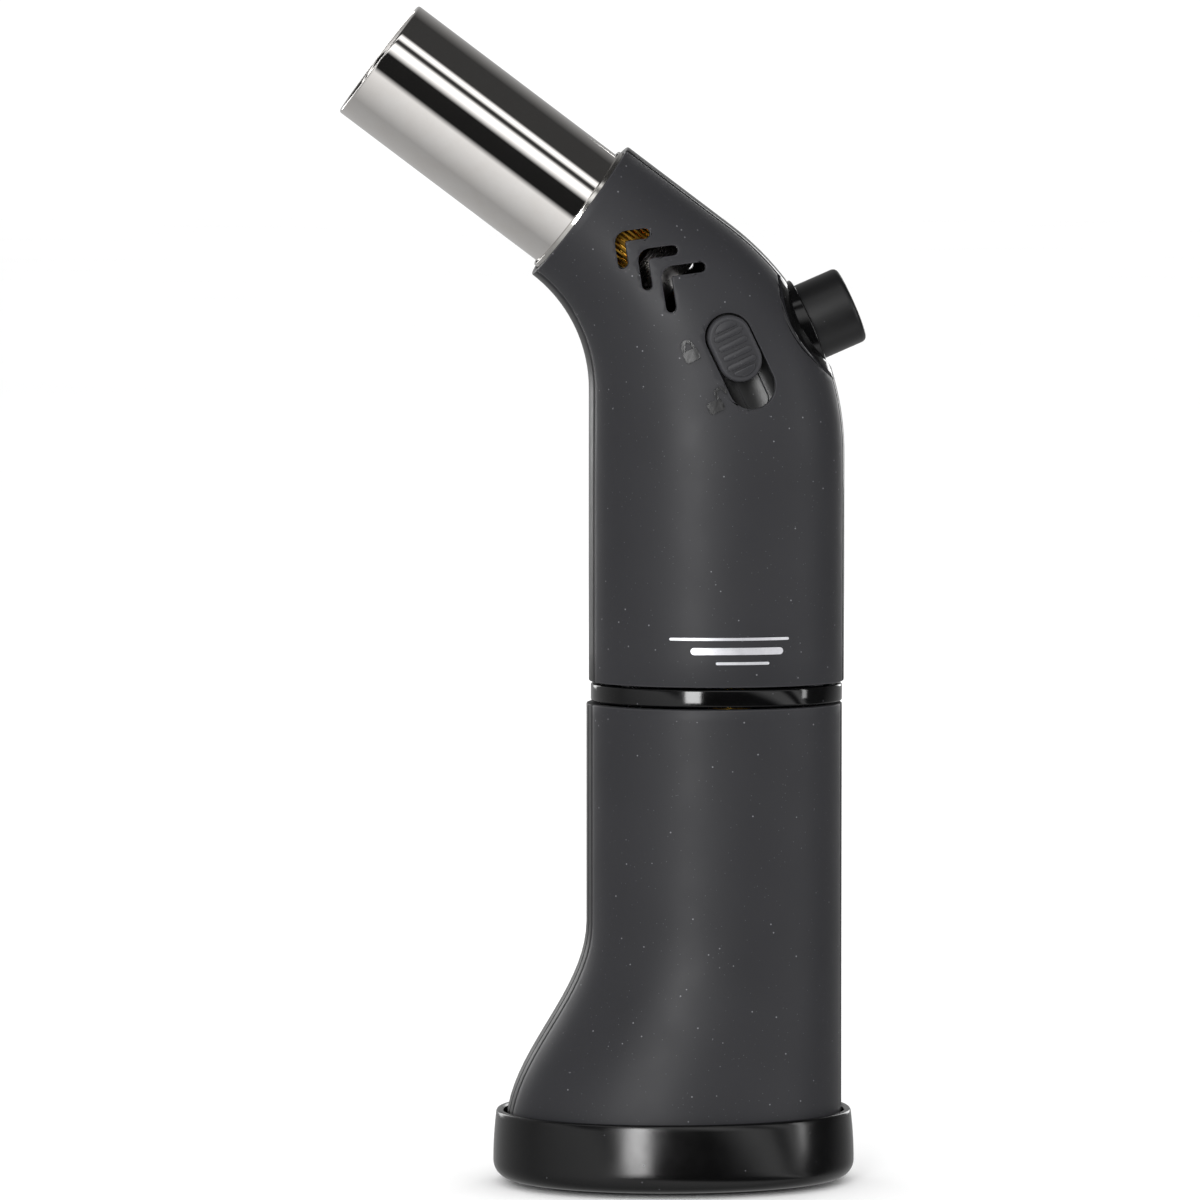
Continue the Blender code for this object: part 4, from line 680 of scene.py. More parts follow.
def back_spine_with_surround():
    """Back strip that widens into a round boss under the button."""
    made = spine(UPPER, SURROUND_RADIUS + GAP, 1.0, 36)
    reach = 200.0 * MM
    keep = shaped(block((-reach, -STRIP, -reach), (reach, STRIP, reach)))
    boolean(keep, button_bore(SURROUND_RADIUS, 12.0 * MM, 12.0 * MM), "UNION")
    work = bmesh.new()
    work.from_mesh(keep.data)
    bpy.data.objects.remove(keep, do_unlink=True)
    boolean(made, work, "INTERSECT")
    boolean(made, button_bore(BUTTON_RIM + GAP, 15.0 * MM, 15.0 * MM))
    return soften(made, 0.3 * MM, steps=3)


LINES = (-2.2 * MM, 2.2 * MM)
fitted(soften(spine(UPPER, STRIP, -1.0), 0.2 * MM), "nose_strip", SATIN_ABS, "housing", "gloss_black",
       "upper_spine_front")
# Inner lap that closes the nose strip's two seams against light from behind.
LAP, LAP_THICK, LAP_SECTIONS = STRIP + 1.5 * MM, 0.5 * MM, 26
behind = [((front + (back - front).normalized() * (wall + GAP / 2.0), back, depth - wall, square), LAP_THICK)
          for (front, back, depth, square), wall in UPPER[:LAP_SECTIONS]]
fitted(spine(behind, LAP, -1.0), "nose_strip_lap", NYLON, "housing", "inner_plastic")
fitted(back_spine_with_surround(), "back_strip_with_boss", GLOSS_ABS, "housing", "gloss_black", "upper_spine_back")
fitted(soften(spine(LOWER, STRIP, -1.0, flutes=LINES), 0.18 * MM, 60.0), "boot_front_strip", STRIP_ABS, "housing",
       "satin_black", "lower_spine_front", smooth=20.0)
fitted(soften(spine(LOWER, STRIP, 1.0, flutes=LINES), 0.18 * MM, 60.0), "boot_back_strip", STRIP_ABS, "housing",
       "satin_black", "lower_spine_back", smooth=20.0)


def band():
    """Glossy ring between the housings: a crowned face between two eased edges."""
    tall, edge = BAND_TOP_Z - BAND_BOTTOM_Z, 0.35 * MM
    outer = [(BAND_BOTTOM_Z + edge * (1.0 - math.cos(a)), edge * (1.0 - math.sin(a)))
             for a in np.linspace(0.0, math.pi / 2.0, 6)]
    outer += [(BAND_TOP_Z - z + BAND_BOTTOM_Z, lean) for z, lean in reversed(outer)]
    outer = [(z, lean + 0.05 * MM * abs(2.0 * (z - BAND_BOTTOM_Z) / tall - 1.0)) for z, lean in outer]
    rings = [full_ring(grip_station(z), BAND_INSET + lean, 60) for z, lean in outer]
    rings += [full_ring(grip_station(z), BAND_INSET + WALL, 60) for z in (BAND_TOP_Z, BAND_BOTTOM_Z)]
    return shaped(loft(rings, looped=True))


fitted(band(), "trim_ring", GLOSS_ABS, "housing", "gloss_black", "trim_band", smooth=50.0)


def ring_inset(z):
    """Bulged side of the base ring: round at the bottom, leaning in at the top."""
    low = min(max((RING_BOTTOM_Z + RING_ROUND - z) / RING_ROUND, 0.0), 1.0)
    belly = RING_BOTTOM_Z + RING_ROUND
    high = max((z - belly) / (RING_TOP_Z - belly), 0.0)
    return RING_ROUND * (1.0 - math.sqrt(max(1.0 - low ** 2, 0.0))) + RING_LEAN * high ** 2


def base_ring():
    """Bulged ring around the boot, with a ledge under the base plate and a rounded top edge."""
    levels = [RING_BOTTOM_Z + RING_ROUND * (1.0 - math.cos(a)) for a in np.linspace(0.0, math.pi / 2.0, 12)]
    levels += list(np.linspace(levels[-1], RING_TOP_Z - 0.3 * MM, 12))[1:]
    outline = [(z, ring_inset(z)) for z in levels]
    top, inner = ring_inset(RING_TOP_Z), RING_WALL + RING_LEAN
    outline += [(RING_TOP_Z - 0.3 * MM + 0.3 * MM * math.sin(a), top + 0.3 * MM * (1.0 - math.cos(a)))
                for a in np.linspace(0.3, math.pi / 2.0, 4)]
    outline += [(RING_TOP_Z, inner - 0.25 * MM), (RING_TOP_Z - 0.25 * MM, inner), (FOOT_TOP_Z, inner),
                (FOOT_TOP_Z, RING_ROUND + 2.0 * MM), (RING_BOTTOM_Z, RING_ROUND + 2.0 * MM)]
    return shaped(loft([full_ring(ring_station(z), inset, 64) for z, inset in outline], looped=True))


fitted(base_ring(), "base_ring_moulding", BASE_ABS, "housing", "satin_black", "base_ring", smooth=40.0)


# ---- burner ----
KNURL_REAR, KNURL_FRONT, SPIGOT_FRONT = -10.8 * MM, -4.8 * MM, 1.2 * MM
BODY_REAR, BODY_FRONT, BODY_RADIUS = -18.1 * MM, -11.1 * MM, 4.8 * MM
HOLDER_AT, HOLDER_THICK, WIRE_HOLE_OFFSET = 10.0 * MM, 2.5 * MM, 6.2 * MM
BURNER = standing(burner_point(0.0), OUT)


def on_burner(profile, steps=96):
    return lathe(profile, burner_point(0.0), OUT, steps)


def burner_tube():
    """Drawn tube whose mouth is rolled to a thin round lip."""
    middle, half = (TUBE_RADIUS + TUBE_INNER) / 2.0, (TUBE_RADIUS - TUBE_INNER) / 2.0
    lip = [(middle + half * math.cos(a), TUBE_OUT - half + half * math.sin(a)) for a in np.linspace(0.0, math.pi, 9)]
    profile = [(TUBE_INNER, -TUBE_IN), (TUBE_RADIUS - 0.2 * MM, -TUBE_IN), (TUBE_RADIUS, -TUBE_IN + 0.2 * MM)]
    return shaped(on_burner(profile + lip, 128))


fitted(burner_tube(), "burner_barrel", TUBE_PLATE, "housing", "dark_chrome", "burner_tube")
seat_inner, seat_outer = TUBE_RADIUS + GAP, TUBE_RADIUS + GAP + 0.4 * MM
fitted(shaped(on_burner([(seat_inner, -2.0 * MM), (seat_outer, -2.0 * MM)] + eased(seat_outer, 0.6 * MM, 0.18 * MM)
                        + [(seat_inner, 0.5 * MM)], 128)),
       "barrel_seat_ring", RING_PLATE, "housing", "steel", "tube_seat_ring")


def ridges_tree():
    """Half-round ridges side by side around an axis, for knurls and finger grips."""
    tree, given, end = growing_tree("ridges_round_an_axis", ("Count", "Int"), ("Pitch Radius", "Float"),
                                    ("Ridge Radius", "Float"), ("Length", "Float"), ("Finish", "Material"))
    circle = add(tree, "GeometryNodeMeshCircle",
                 links={"Vertices": given["Count"], "Radius": given["Pitch Radius"]})
    ridge = add(tree, "GeometryNodeMeshCylinder", {"Vertices": 8},
                {"Radius": given["Ridge Radius"], "Depth": given["Length"]})
    rows = add(tree, "GeometryNodeInstanceOnPoints", links={"Points": circle.outputs[0], "Instance": ridge.outputs[0]})
    finish_tree(tree, end, rows.outputs[0], given["Finish"])
    return tree


RIDGES = ridges_tree()


def knurled_nut():
    """Brass nut with straight knurling, and its spigot in the barrel."""
    outline = [(3.7 * MM, KNURL_REAR), (7.9 * MM, KNURL_REAR), (8.3 * MM, KNURL_REAR + 0.4 * MM),
               (8.3 * MM, KNURL_FRONT - 0.4 * MM), (8.1 * MM, KNURL_FRONT), (8.1 * MM, SPIGOT_FRONT - 0.3 * MM),
               (7.8 * MM, SPIGOT_FRONT), (3.7 * MM, SPIGOT_FRONT)]
    nut = shaped(on_burner(outline))
    boolean(nut, lathe(rod(1.4 * MM, -40.0 * MM, 40.0 * MM), burner_point(0.0, -WIRE_HOLE_OFFSET), OUT, 24))
    knurl = grow(RIDGES, {"Count": 74, "Pitch Radius": 8.38 * MM, "Ridge Radius": 0.34 * MM, "Length": 5.3 * MM,
                          "Finish": BURNER_BRASS}, place=BURNER @ Matrix.Translation((0.0, 0.0, -7.8 * MM)))
    return merged(nut, knurl)


fitted(knurled_nut(), "knurled_nut", BURNER_BRASS, "housing", "brass", "knurled_fitting")


def threaded_body():
    """Steel burner body: a plain rear and a threaded neck."""
    outline = [(2.2 * MM, BODY_REAR), (BODY_RADIUS - 0.3 * MM, BODY_REAR), (BODY_RADIUS, BODY_REAR + 0.3 * MM),
               (BODY_RADIUS, -14.9 * MM), (BODY_RADIUS - 0.5 * MM, -14.7 * MM), (BODY_RADIUS - 0.5 * MM, -14.3 * MM)]
    for turn in range(5):
        start = -14.2 * MM + turn * 0.55 * MM
        outline += [(BODY_RADIUS - 0.38 * MM, start), (BODY_RADIUS, start + 0.2 * MM), (BODY_RADIUS, start + 0.32 * MM)]
    outline += [(BODY_RADIUS - 1.0 * MM, BODY_FRONT), (2.2 * MM, BODY_FRONT)]
    return shaped(on_burner(outline, 72))


fitted(threaded_body(), "threaded_burner_body", BURNER_STEEL, "housing", "steel", "burner_body")


def perforating_tree():
    """Bores rings of round holes through the incoming disc."""
    tree, given, end = growing_tree("rings_of_holes", ("Inner Count", "Int"), ("Inner Radius", "Float"),
                                    ("Outer Count", "Int"), ("Outer Radius", "Float"), ("Hole Radius", "Float"),
                                    ("Depth", "Float"), ("Finish", "Material"))
    drill = add(tree, "GeometryNodeMeshCylinder", {"Vertices": 14},
                {"Radius": given["Hole Radius"], "Depth": given["Depth"]})
    rings = add(tree, "GeometryNodeJoinGeometry")
    for which in ("Inner", "Outer"):
        circle = add(tree, "GeometryNodeMeshCircle",
                     links={"Vertices": given[which + " Count"], "Radius": given[which + " Radius"]})
        drills = add(tree, "GeometryNodeInstanceOnPoints",
                     links={"Points": circle.outputs[0], "Instance": drill.outputs[0]})
        tree.links.new(drills.outputs[0], rings.inputs[0])
    solid = add(tree, "GeometryNodeRealizeInstances", links={0: rings.outputs[0]})
    bored = add(tree, "GeometryNodeMeshBoolean", {"operation": "DIFFERENCE", "solver": "EXACT"},
                {0: given["Geometry"], 1: solid.outputs[0]})
    finish_tree(tree, end, bored.outputs[0], given["Finish"])
    return tree


def flame_holder():
    """Fired disc with two rings of gas holes, the pilot hole and the electrode's hole."""
    radius = TUBE_INNER - GAP
    top = HOLDER_THICK / 2.0
    profile = [(0.0, -top), (radius - 0.2 * MM, -top), (radius, -top + 0.2 * MM), (radius, top - 0.3 * MM),
               (radius - 0.3 * MM, top), (0.0, top)]
    disc = shaped(lathe(profile, (0.0, 0.0, 0.0), UP, 72))
    for offset, bore in ((0.0, 1.3 * MM), (-WIRE_HOLE_OFFSET, 0.95 * MM)):
        centre = axes(OUT).inverted() @ (RISE * offset)
        boolean(disc, lathe(rod(bore, -5.0 * MM, 5.0 * MM), centre, UP, 20))
    return grow(perforating_tree(), {"Inner Count": 8, "Inner Radius": 3.2 * MM, "Outer Count": 9,
                                     "Outer Radius": 7.4 * MM, "Hole Radius": 0.62 * MM, "Depth": 8.0 * MM,
                                     "Finish": CERAMIC},
                disc, BURNER @ Matrix.Translation((0.0, 0.0, HOLDER_AT + top)))


fitted(flame_holder(), "perforated_flame_disc", CERAMIC, "housing", "ceramic", "flame_holder")


# ---- springs ----
def spring_tree():
    """Round wire wound into a coil of even pitch."""
    tree, given, end = growing_tree("wound_spring", ("Coil Radius", "Float"), ("Wire Radius", "Float"),
                                    ("Height", "Float"), ("Turns", "Float"), ("Finish", "Material"))
    route = add(tree, "GeometryNodeCurveSpiral", {"Resolution": 28},
                {"Rotations": given["Turns"], "Start Radius": given["Coil Radius"],
                 "End Radius": given["Coil Radius"], "Height": given["Height"]})
    wire = add(tree, "GeometryNodeCurvePrimitiveCircle", {"Resolution": 10}, {"Radius": given["Wire Radius"]})
    wound = add(tree, "GeometryNodeCurveToMesh", {"Fill Caps": True},
                {"Curve": route.outputs[0], "Profile Curve": wire.outputs[0]})
    finish_tree(tree, end, wound.outputs[0], given["Finish"])
    return tree


SPRING = spring_tree()


def spring(name, node, point, direction, radius, wire, low, high, turns):
    along = Vector(direction)
    made = grow(SPRING, {"Coil Radius": radius, "Wire Radius": wire, "Height": high - low - 2.0 * wire,
                         "Turns": turns, "Finish": SPRING_STEEL},
                place=standing(Vector(point) + along * (low + wire), direction))
    fitted(made, name, SPRING_STEEL, "housing", "steel", node, smooth=60.0)
    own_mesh(made)


spring("button_return_spring", "button_spring", BUTTON, PUSH_OUT, 3.6 * MM, 0.35 * MM,
       -14.5 * MM, -7.3 * MM, 4.5)
spring("gas_valve_spring", "valve_spring", (VALVE_X, 0.0, 0.0), UP, 1.65 * MM, 0.25 * MM,
       86.325 * MM, 92.825 * MM, 5.5)
spring("refill_valve_spring", "fill_valve_spring", (FILL_X, 0.0, 0.0), UP, 0.85 * MM, 0.2 * MM,
       10.6 * MM, 18.7 * MM, 7.5)


# ---- ignition button ----
def ignition_button():
    """Push button with an eased, slightly dished end, its flange and its pusher bar."""
    flange = BUTTON_RADIUS + BUTTON_FLANGE
    profile = [(0.0, -BUTTON_IN), (flange - 0.2 * MM, -BUTTON_IN), (flange, -BUTTON_IN + 0.2 * MM),
               (flange, -BUTTON_IN + BUTTON_FLANGE), (BUTTON_RADIUS, -BUTTON_IN + BUTTON_FLANGE)]
    profile += eased(BUTTON_RADIUS, BUTTON_OUT, 0.85 * MM, 6)
    profile += [(BUTTON_RADIUS - 1.6 * MM, BUTTON_OUT - 0.08 * MM), (2.0 * MM, BUTTON_OUT - 0.2 * MM),
                (0.0, BUTTON_OUT - 0.22 * MM)]
    cap = shaped(lathe(profile, BUTTON, PUSH_OUT, 96))
    across = Matrix((Vector((0.0, 1.0, 0.0)), PUSH_RISE, PUSH_OUT)).transposed().to_4x4()
    bar = block((-1.5 * MM, -7.3 * MM, -24.2 * MM), (1.5 * MM, -5.5 * MM, -6.6 * MM),
                Matrix.Translation(BUTTON) @ across)
    return merged(cap, soften(shaped(bar), 0.2 * MM))


fitted(ignition_button(), "thumb_button", SATIN_ABS, "button", "satin_black", "ignition_button")
rim = [(BUTTON_GUIDE, -5.2 * MM), (BUTTON_RIM, -5.2 * MM)] + eased(BUTTON_RIM, 0.7 * MM, 0.25 * MM)
fitted(shaped(lathe(rim + [(BUTTON_GUIDE + 0.15 * MM, 0.7 * MM), (BUTTON_GUIDE, 0.55 * MM)], BUTTON, PUSH_OUT, 96)),
       "button_guide_rim", GLOSS_ABS, "housing", "gloss_black", "button_collar")


# ---- lock slider ----
SLIDER_MIDDLE = LOCK_TOP + LOCK_ALONG * (GAP + (SLIDER_LENGTH - LOCK_SLOT_WIDTH) / 2.0)
CAP_FACE, CAP_FLOOR = -LOCK_DEPTH - SLIDER_PROUD, -LOCK_DEPTH + CAP_DEEP
PLATE_NEAR, PLATE_FAR = CAP_FLOOR + GAP, CAP_FLOOR + GAP + 1.2 * MM
RIB_HEIGHT, RIB_PITCH, RIB_HALF = 0.35 * MM, 1.55 * MM, 1.85 * MM


def along_lock(middle, reach):
    return [middle - LOCK_ALONG * reach, middle + LOCK_ALONG * reach]


def ribs_tree():
    """Equal ribs in a row, one pitch apart."""
    tree, given, end = growing_tree("row_of_ribs", ("Rib", "Object"), ("Count", "Int"), ("Start", "Vector"),
                                    ("Pitch", "Vector"), ("Finish", "Material"))
    line = add(tree, "GeometryNodeMeshLine", {"mode": "OFFSET"},
               {"Count": given["Count"], "Start Location": given["Start"],
                "Offset": given["Pitch"]})
    rib = add(tree, "GeometryNodeObjectInfo", links={"Object": given["Rib"]})
    row = add(tree, "GeometryNodeInstanceOnPoints",
              links={"Points": line.outputs[0], "Instance": rib.outputs["Geometry"]})
    finish_tree(tree, end, row.outputs[0], given["Finish"])
    return tree


def lock_slider():
    """Thumb pad with a rounded rim, four pill ribs between two half-round ones, and its neck."""
    width = LOCK_SLOT_WIDTH - 2.0 * GAP
    pad_face = CAP_FACE + RIB_HEIGHT
    outline = outline_of(along_lock(SLIDER_MIDDLE, (SLIDER_LENGTH - width) / 2.0), width, 28)
    pad = shaped(prism(outline, pad_face, CAP_FLOOR))
    soften(pad, 0.55 * MM, steps=5)
    zero = Vector((0.0, 0.0, 0.0))
    pill = [zero - LOCK_ACROSS * RIB_HALF, zero + LOCK_ACROSS * RIB_HALF]
    rib = soften(shaped(prism(outline_of(pill, 0.85 * MM, 10), CAP_FACE, pad_face + 0.2 * MM)), 0.13 * MM)
    row = grow(ribs_tree(), {"Rib": rib, "Count": 4, "Start": tuple(SLIDER_MIDDLE - LOCK_ALONG * 1.5 * RIB_PITCH),
                             "Pitch": tuple(LOCK_ALONG * RIB_PITCH), "Finish": SOFT_TOUCH})
    bpy.data.objects.remove(rib, do_unlink=True)
    parts = [pad, row]
    for end in (-1.0, 1.0):
        chord = SLIDER_MIDDLE + LOCK_ALONG * end * 2.02 * RIB_PITCH
        arc = [chord + LOCK_ACROSS * 1.75 * MM * math.cos(a) + LOCK_ALONG * end * 1.15 * MM * math.sin(a)
               for a in np.linspace(0.0, math.pi, 15)]
        parts.append(soften(shaped(prism(arc, CAP_FACE, pad_face + 0.2 * MM)), 0.13 * MM))
    key = outline_of(along_lock(SLIDER_MIDDLE, 1.0 * MM), 2.6 * MM, 12)
    parts.append(shaped(prism(key, CAP_FLOOR - 0.2 * MM, PLATE_NEAR + 0.2 * MM)))
    return merged(*parts)


def slot_floor():
    """Plate behind the slot, with the shallow track that the pad's key runs in."""
    plate = shaped(prism(lock_outline(LOCK_SLOT_WIDTH + 2.0 * PLATE_LAP), PLATE_NEAR, PLATE_FAR))
    track = [LOCK_TOP - LOCK_ALONG * 0.5 * MM, LOCK_LOW + LOCK_ALONG * 2.4 * MM]
    boolean(plate, prism(outline_of(track, 3.6 * MM, 12), PLATE_NEAR - MM, PLATE_NEAR + 0.45 * MM))
    return soften(plate, 0.12 * MM)


fitted(lock_slider(), "lock_thumb_pad", SOFT_TOUCH, "slider", "soft_touch", "lock_slider")
fitted(slot_floor(), "lock_slot_floor", SATIN_ABS, "housing", "gloss_black", "slider_guide")


# ---- moulded and printed marks ----
def on_skin(outline, low, high, name, look, slot):
    """Thin raised shape that follows the near side of the housing."""
    work = bmesh.new()
    face = work.faces.new([work.verts.new((p.x, 0.0, p.z)) for p in outline])
    bmesh.ops.triangulate(work, faces=[face])
    bmesh.ops.subdivide_edges(work, edges=work.edges, cuts=2, use_grid_fill=True)
    grown = bmesh.ops.extrude_face_region(work, geom=list(work.faces))
    top = {v for v in grown["geom"] if isinstance(v, bmesh.types.BMVert)}
    for vert in work.verts:
        vert.co.y = surface_y(vert.co.x, vert.co.z, -1.0, high if vert in top else low)
    return fitted(shaped(work), name, look, "housing", slot)


def padlock(name, centre, open_shackle):
    """Generic padlock sign: a block and its shackle."""
    rise, aside = -LOCK_ALONG, LOCK_ACROSS
    half, tall, corner = 1.15 * MM, 1.75 * MM, 0.35 * MM
    outline = []
    for sx, sz, first in ((1, 1, 0.0), (-1, 1, 90.0), (-1, -1, 180.0), (1, -1, 270.0)):
        pivot = centre + aside * sx * (half - corner) + rise * sz * (tall / 2.0 - corner)
        outline += [pivot + (aside * math.cos(a) + rise * math.sin(a)) * corner
                    for a in np.radians(np.linspace(first, first + 90.0, 5))]
    on_skin(outline, -0.2 * MM, 0.32 * MM, name + "_block", SATIN_ABS, "soft_touch")
    foot = centre + rise * (tall / 2.0 + 0.05 * MM)
    shift = aside * (0.75 * 2.0 * MM if open_shackle else 0.0)
    bow = [foot + shift + rise * 0.55 * MM + (aside * math.cos(a) + rise * math.sin(a)) * 0.75 * MM
           for a in np.linspace(math.pi, 0.0, 11)]
    left, right = foot + shift - aside * 0.75 * MM, foot + shift + aside * 0.75 * MM
    path = [right + rise * 0.3 * MM if open_shackle else right] + bow[::-1] + [left]
    on_skin(outline_of(path, 0.42 * MM, 6), -0.2 * MM, 0.32 * MM, name + "_shackle", SATIN_ABS, "soft_touch")


padlock("closed_padlock", Vector((-4.9, 0.0, 124.6)) * MM, False)
padlock("open_padlock", Vector((-1.4, 0.0, 117.1)) * MM, True)
BARS = ((-8.0, 9.4, 82.7, 0.42), (-4.6, 8.2, 80.9, 1.05), (-1.2, 6.4, 79.1, 0.42))     # left, right, Z, height in mm
for index, (left, right, z, tall) in enumerate(BARS):
    bar = outline_of([Vector((x, 0.0, z)) * MM for x in np.linspace(left, right, 15)], tall * MM, 8)
    on_skin(bar, -0.15 * MM, 0.04 * MM, f"printed_bar_{index + 1}", SILVER_INK, "steel")


# ---- base ----
def foot_pad():
    outer, inner = RING_ROUND + 2.0 * MM + GAP, RING_ROUND + 2.0 * MM + GAP + FOOT_WIDTH
    edge = 0.3 * MM
    outline = [(0.0, outer + edge), (edge, outer), (FOOT_TOP_Z, outer), (FOOT_TOP_Z, inner), (edge, inner),
               (0.0, inner - edge)]
    track = shaped(loft([full_ring(ring_station(z), inset, 64) for z, inset in outline], looped=True))
    reach = BOOT_HALF_DEPTH + RING_REACH - outer - FOOT_WIDTH / 2.0
    bar = block((-FOOT_RIB / 2.0, -reach, 0.0), (FOOT_RIB / 2.0, reach, FOOT_TOP_Z))
    return merged(track, soften(shaped(bar), edge))


fitted(foot_pad(), "rubber_foot", RUBBER, "housing", "rubber", "foot_pad")


def floor_plate():
    """Moulded plate across the base, pierced for the refill valve, the dial and the screws."""
    inset = RING_WALL + RING_LEAN + GAP
    plate = shaped(loft([full_ring(ring_station(z), inset, 48) for z in (PLATE_LOW_Z, PLATE_LOW_Z + PLATE_THICK)]))
    for x, y, radius in [(FILL_X, 0.0, 3.6 * MM), (DIAL_X, 0.0, DIAL_RADIUS + GAP)] + [
            (x, y * side, 1.25 * MM) for x, y in BASE_SCREWS for side in (-1, 1)]:
        boolean(plate, lathe(rod(radius, 0.0, 9.0 * MM), (x, y, 0.0), UP, 40))
    return soften(plate, 0.2 * MM)


fitted(floor_plate(), "base_floor", NYLON, "housing", "inner_plastic", "base_plate")


def screws_tree():
    """One screw set at each point, its head towards the point's facing."""
    tree, given, end = growing_tree("set_of_screws", ("Screw", "Object"), ("Finish", "Material"))
    screw = add(tree, "GeometryNodeObjectInfo", links={"Object": given["Screw"]})
    facing = add(tree, "GeometryNodeInputNamedAttribute", {"data_type": "FLOAT_VECTOR", "Name": "facing"})
    turn = add(tree, "FunctionNodeAlignRotationToVector", {"axis": "Z"}, {"Vector": facing.outputs[0]})
    row = add(tree, "GeometryNodeInstanceOnPoints",
              links={"Points": given["Geometry"], "Instance": screw.outputs["Geometry"],
                     "Rotation": turn.outputs[0]})
    finish_tree(tree, end, row.outputs[0], given["Finish"])
    return tree


def screws():
    """Pan-head screws with cross recesses: four in the base, two in the deck."""
    shank, head, tall, length = 1.1 * MM, 2.1 * MM, 1.3 * MM, 5.9 * MM
    profile = [(0.0, -length), (0.4 * MM, -length), (shank * 0.85, -length + 0.9 * MM)]
    for turn in range(7):
        start = -length + (1.1 + turn * 0.6) * MM
        profile += [(shank * 0.82, start), (shank, start + 0.26 * MM), (shank * 0.82, start + 0.5 * MM)]
    profile += [(shank, 0.0), (head, 0.0)] + eased(head, tall, 0.7 * MM, 5) + [(0.0, tall)]
    screw = shaped(lathe(profile, (0.0, 0.0, 0.0), UP, 28))
    for wide, deep in ((1.15, 0.22), (0.22, 1.15)):
        boolean(screw, block((-wide * MM, -deep * MM, tall - 0.7 * MM), (wide * MM, deep * MM, tall + MM)))
    places = [((x, y * side, FOOT_TOP_Z), (0.0, 0.0, -1.0)) for x, y in BASE_SCREWS for side in (-1.0, 1.0)]
    places += [((x, -4.0 * MM, BAND_TOP_Z), (0.0, 0.0, 1.0))
               for x in (GRIP_FRONT_X + 6.5 * MM, GRIP_BACK_X - 5.5 * MM)]
    seed = shaped(bmesh.new())
    seed.data.vertices.add(len(places))
    facing = seed.data.attributes.new("facing", "FLOAT_VECTOR", "POINT")
    for index, (where, way) in enumerate(places):
        seed.data.vertices[index].co = where
        facing.data[index].vector = way
    made = grow(screws_tree(), {"Screw": screw, "Finish": SCREW_STEEL}, seed)
    bpy.data.objects.remove(screw, do_unlink=True)
    return made


fitted(screws(), "housing_screws", SCREW_STEEL, "housing", "steel", "base_screw_1", "base_screw_2", "base_screw_3",
       "base_screw_4", "deck_screw_1", "deck_screw_2")


def flame_dial():
    """Flame-height dial: a ridged rim and a coin slot in its lower face."""
    low, top = PLATE_LOW_Z, PLATE_LOW_Z + DIAL_THICK
    body = DIAL_RADIUS - 0.45 * MM
    outline = [(0.0, low), (body - 0.4 * MM, low), (body, low + 0.4 * MM), (body, top - 0.2 * MM),
               (body - 0.2 * MM, top), (0.0, top)]
    disc = shaped(lathe(outline, (DIAL_X, 0.0, 0.0), UP, 72))
    boolean(disc, block((DIAL_X - 4.5 * MM, -0.6 * MM, 0.0), (DIAL_X + 4.5 * MM, 0.6 * MM, low + 0.9 * MM)))
    grip = grow(RIDGES, {"Count": 40, "Pitch Radius": body, "Ridge Radius": 0.4 * MM, "Length": DIAL_THICK - 0.5 * MM,
                         "Finish": SATIN_ABS}, place=Matrix.Translation((DIAL_X, 0.0, low + DIAL_THICK / 2.0)))
    return merged(disc, grip)


fitted(flame_dial(), "flame_height_dial", SATIN_ABS, "dial", "satin_black", "flame_dial")


# ---- finishes of the frame's own pieces ----
BY_SLOT = {"soft_touch": SOFT_TOUCH, "gloss_black": GLOSS_ABS, "satin_black": SATIN_ABS, "dark_chrome": TUBE_PLATE,
           "steel": SCREW_STEEL, "brass": VALVE_BRASS, "rubber": RUBBER, "ceramic": GLAZED,
           "tank_plastic": TANK_ACETAL, "inner_plastic": NYLON, "piezo_plastic": PIEZO_PBT, "lead_cover": SILICONE}
BY_NODE = {"gas_jet": BURNER_BRASS, "mixing_tube": BURNER_STEEL, "electrode": BURNER_STEEL}
for row in frame["record"]["subparts"]:
    node = cad_nodes[row["node"]]
    look = BY_NODE.get(row["node"], BY_SLOT[row["material_slot"]])
    for slot in node.material_slots:
        slot.material = look


# ---- floor, light and camera ----
def floor():
    made, tree, shader, place = finish("pale_matt_floor", Roughness=0.8, Specular_IOR_Level=0.1)
    tone = spread(tree, noise(tree, place, 400.0), 0.3, 0.7, "#fafafa", "#fdfdfd")
    tree.links.new(tone, shader.inputs["Base Color"])
    work = bmesh.new()
    bmesh.ops.create_grid(work, x_segments=4, y_segments=4, size=12.0)
    ground = shaped(work)
    ground.name = "floor"
    ground.data.materials.append(made)
    ground.visible_glossy = False        # mirror finishes see the studio cards in its place


# What glossy finishes mirror, by angle round the burner's axis from the front: a black card in front, a pale
# floor that dims away below it, two white strip lights above it, a dark ceiling and a grey backdrop behind.
BLACK_CARD, CEILING, DIM = "#181818", "#303030", "#888888"
BACKDROP, FLOOR, STRIP_LIGHT = "#a0a0a0", "#d0d0d0", "#f8f8f8"
STUDIO = ((-180, BACKDROP), (-90, DIM), (-25, FLOOR), (-16, BLACK_CARD), (15, BLACK_CARD), (25, STRIP_LIGHT),
          (35, STRIP_LIGHT), (40, CEILING), (45, CEILING), (50, STRIP_LIGHT), (55, STRIP_LIGHT), (60, CEILING),
          (110, CEILING), (180, BACKDROP))


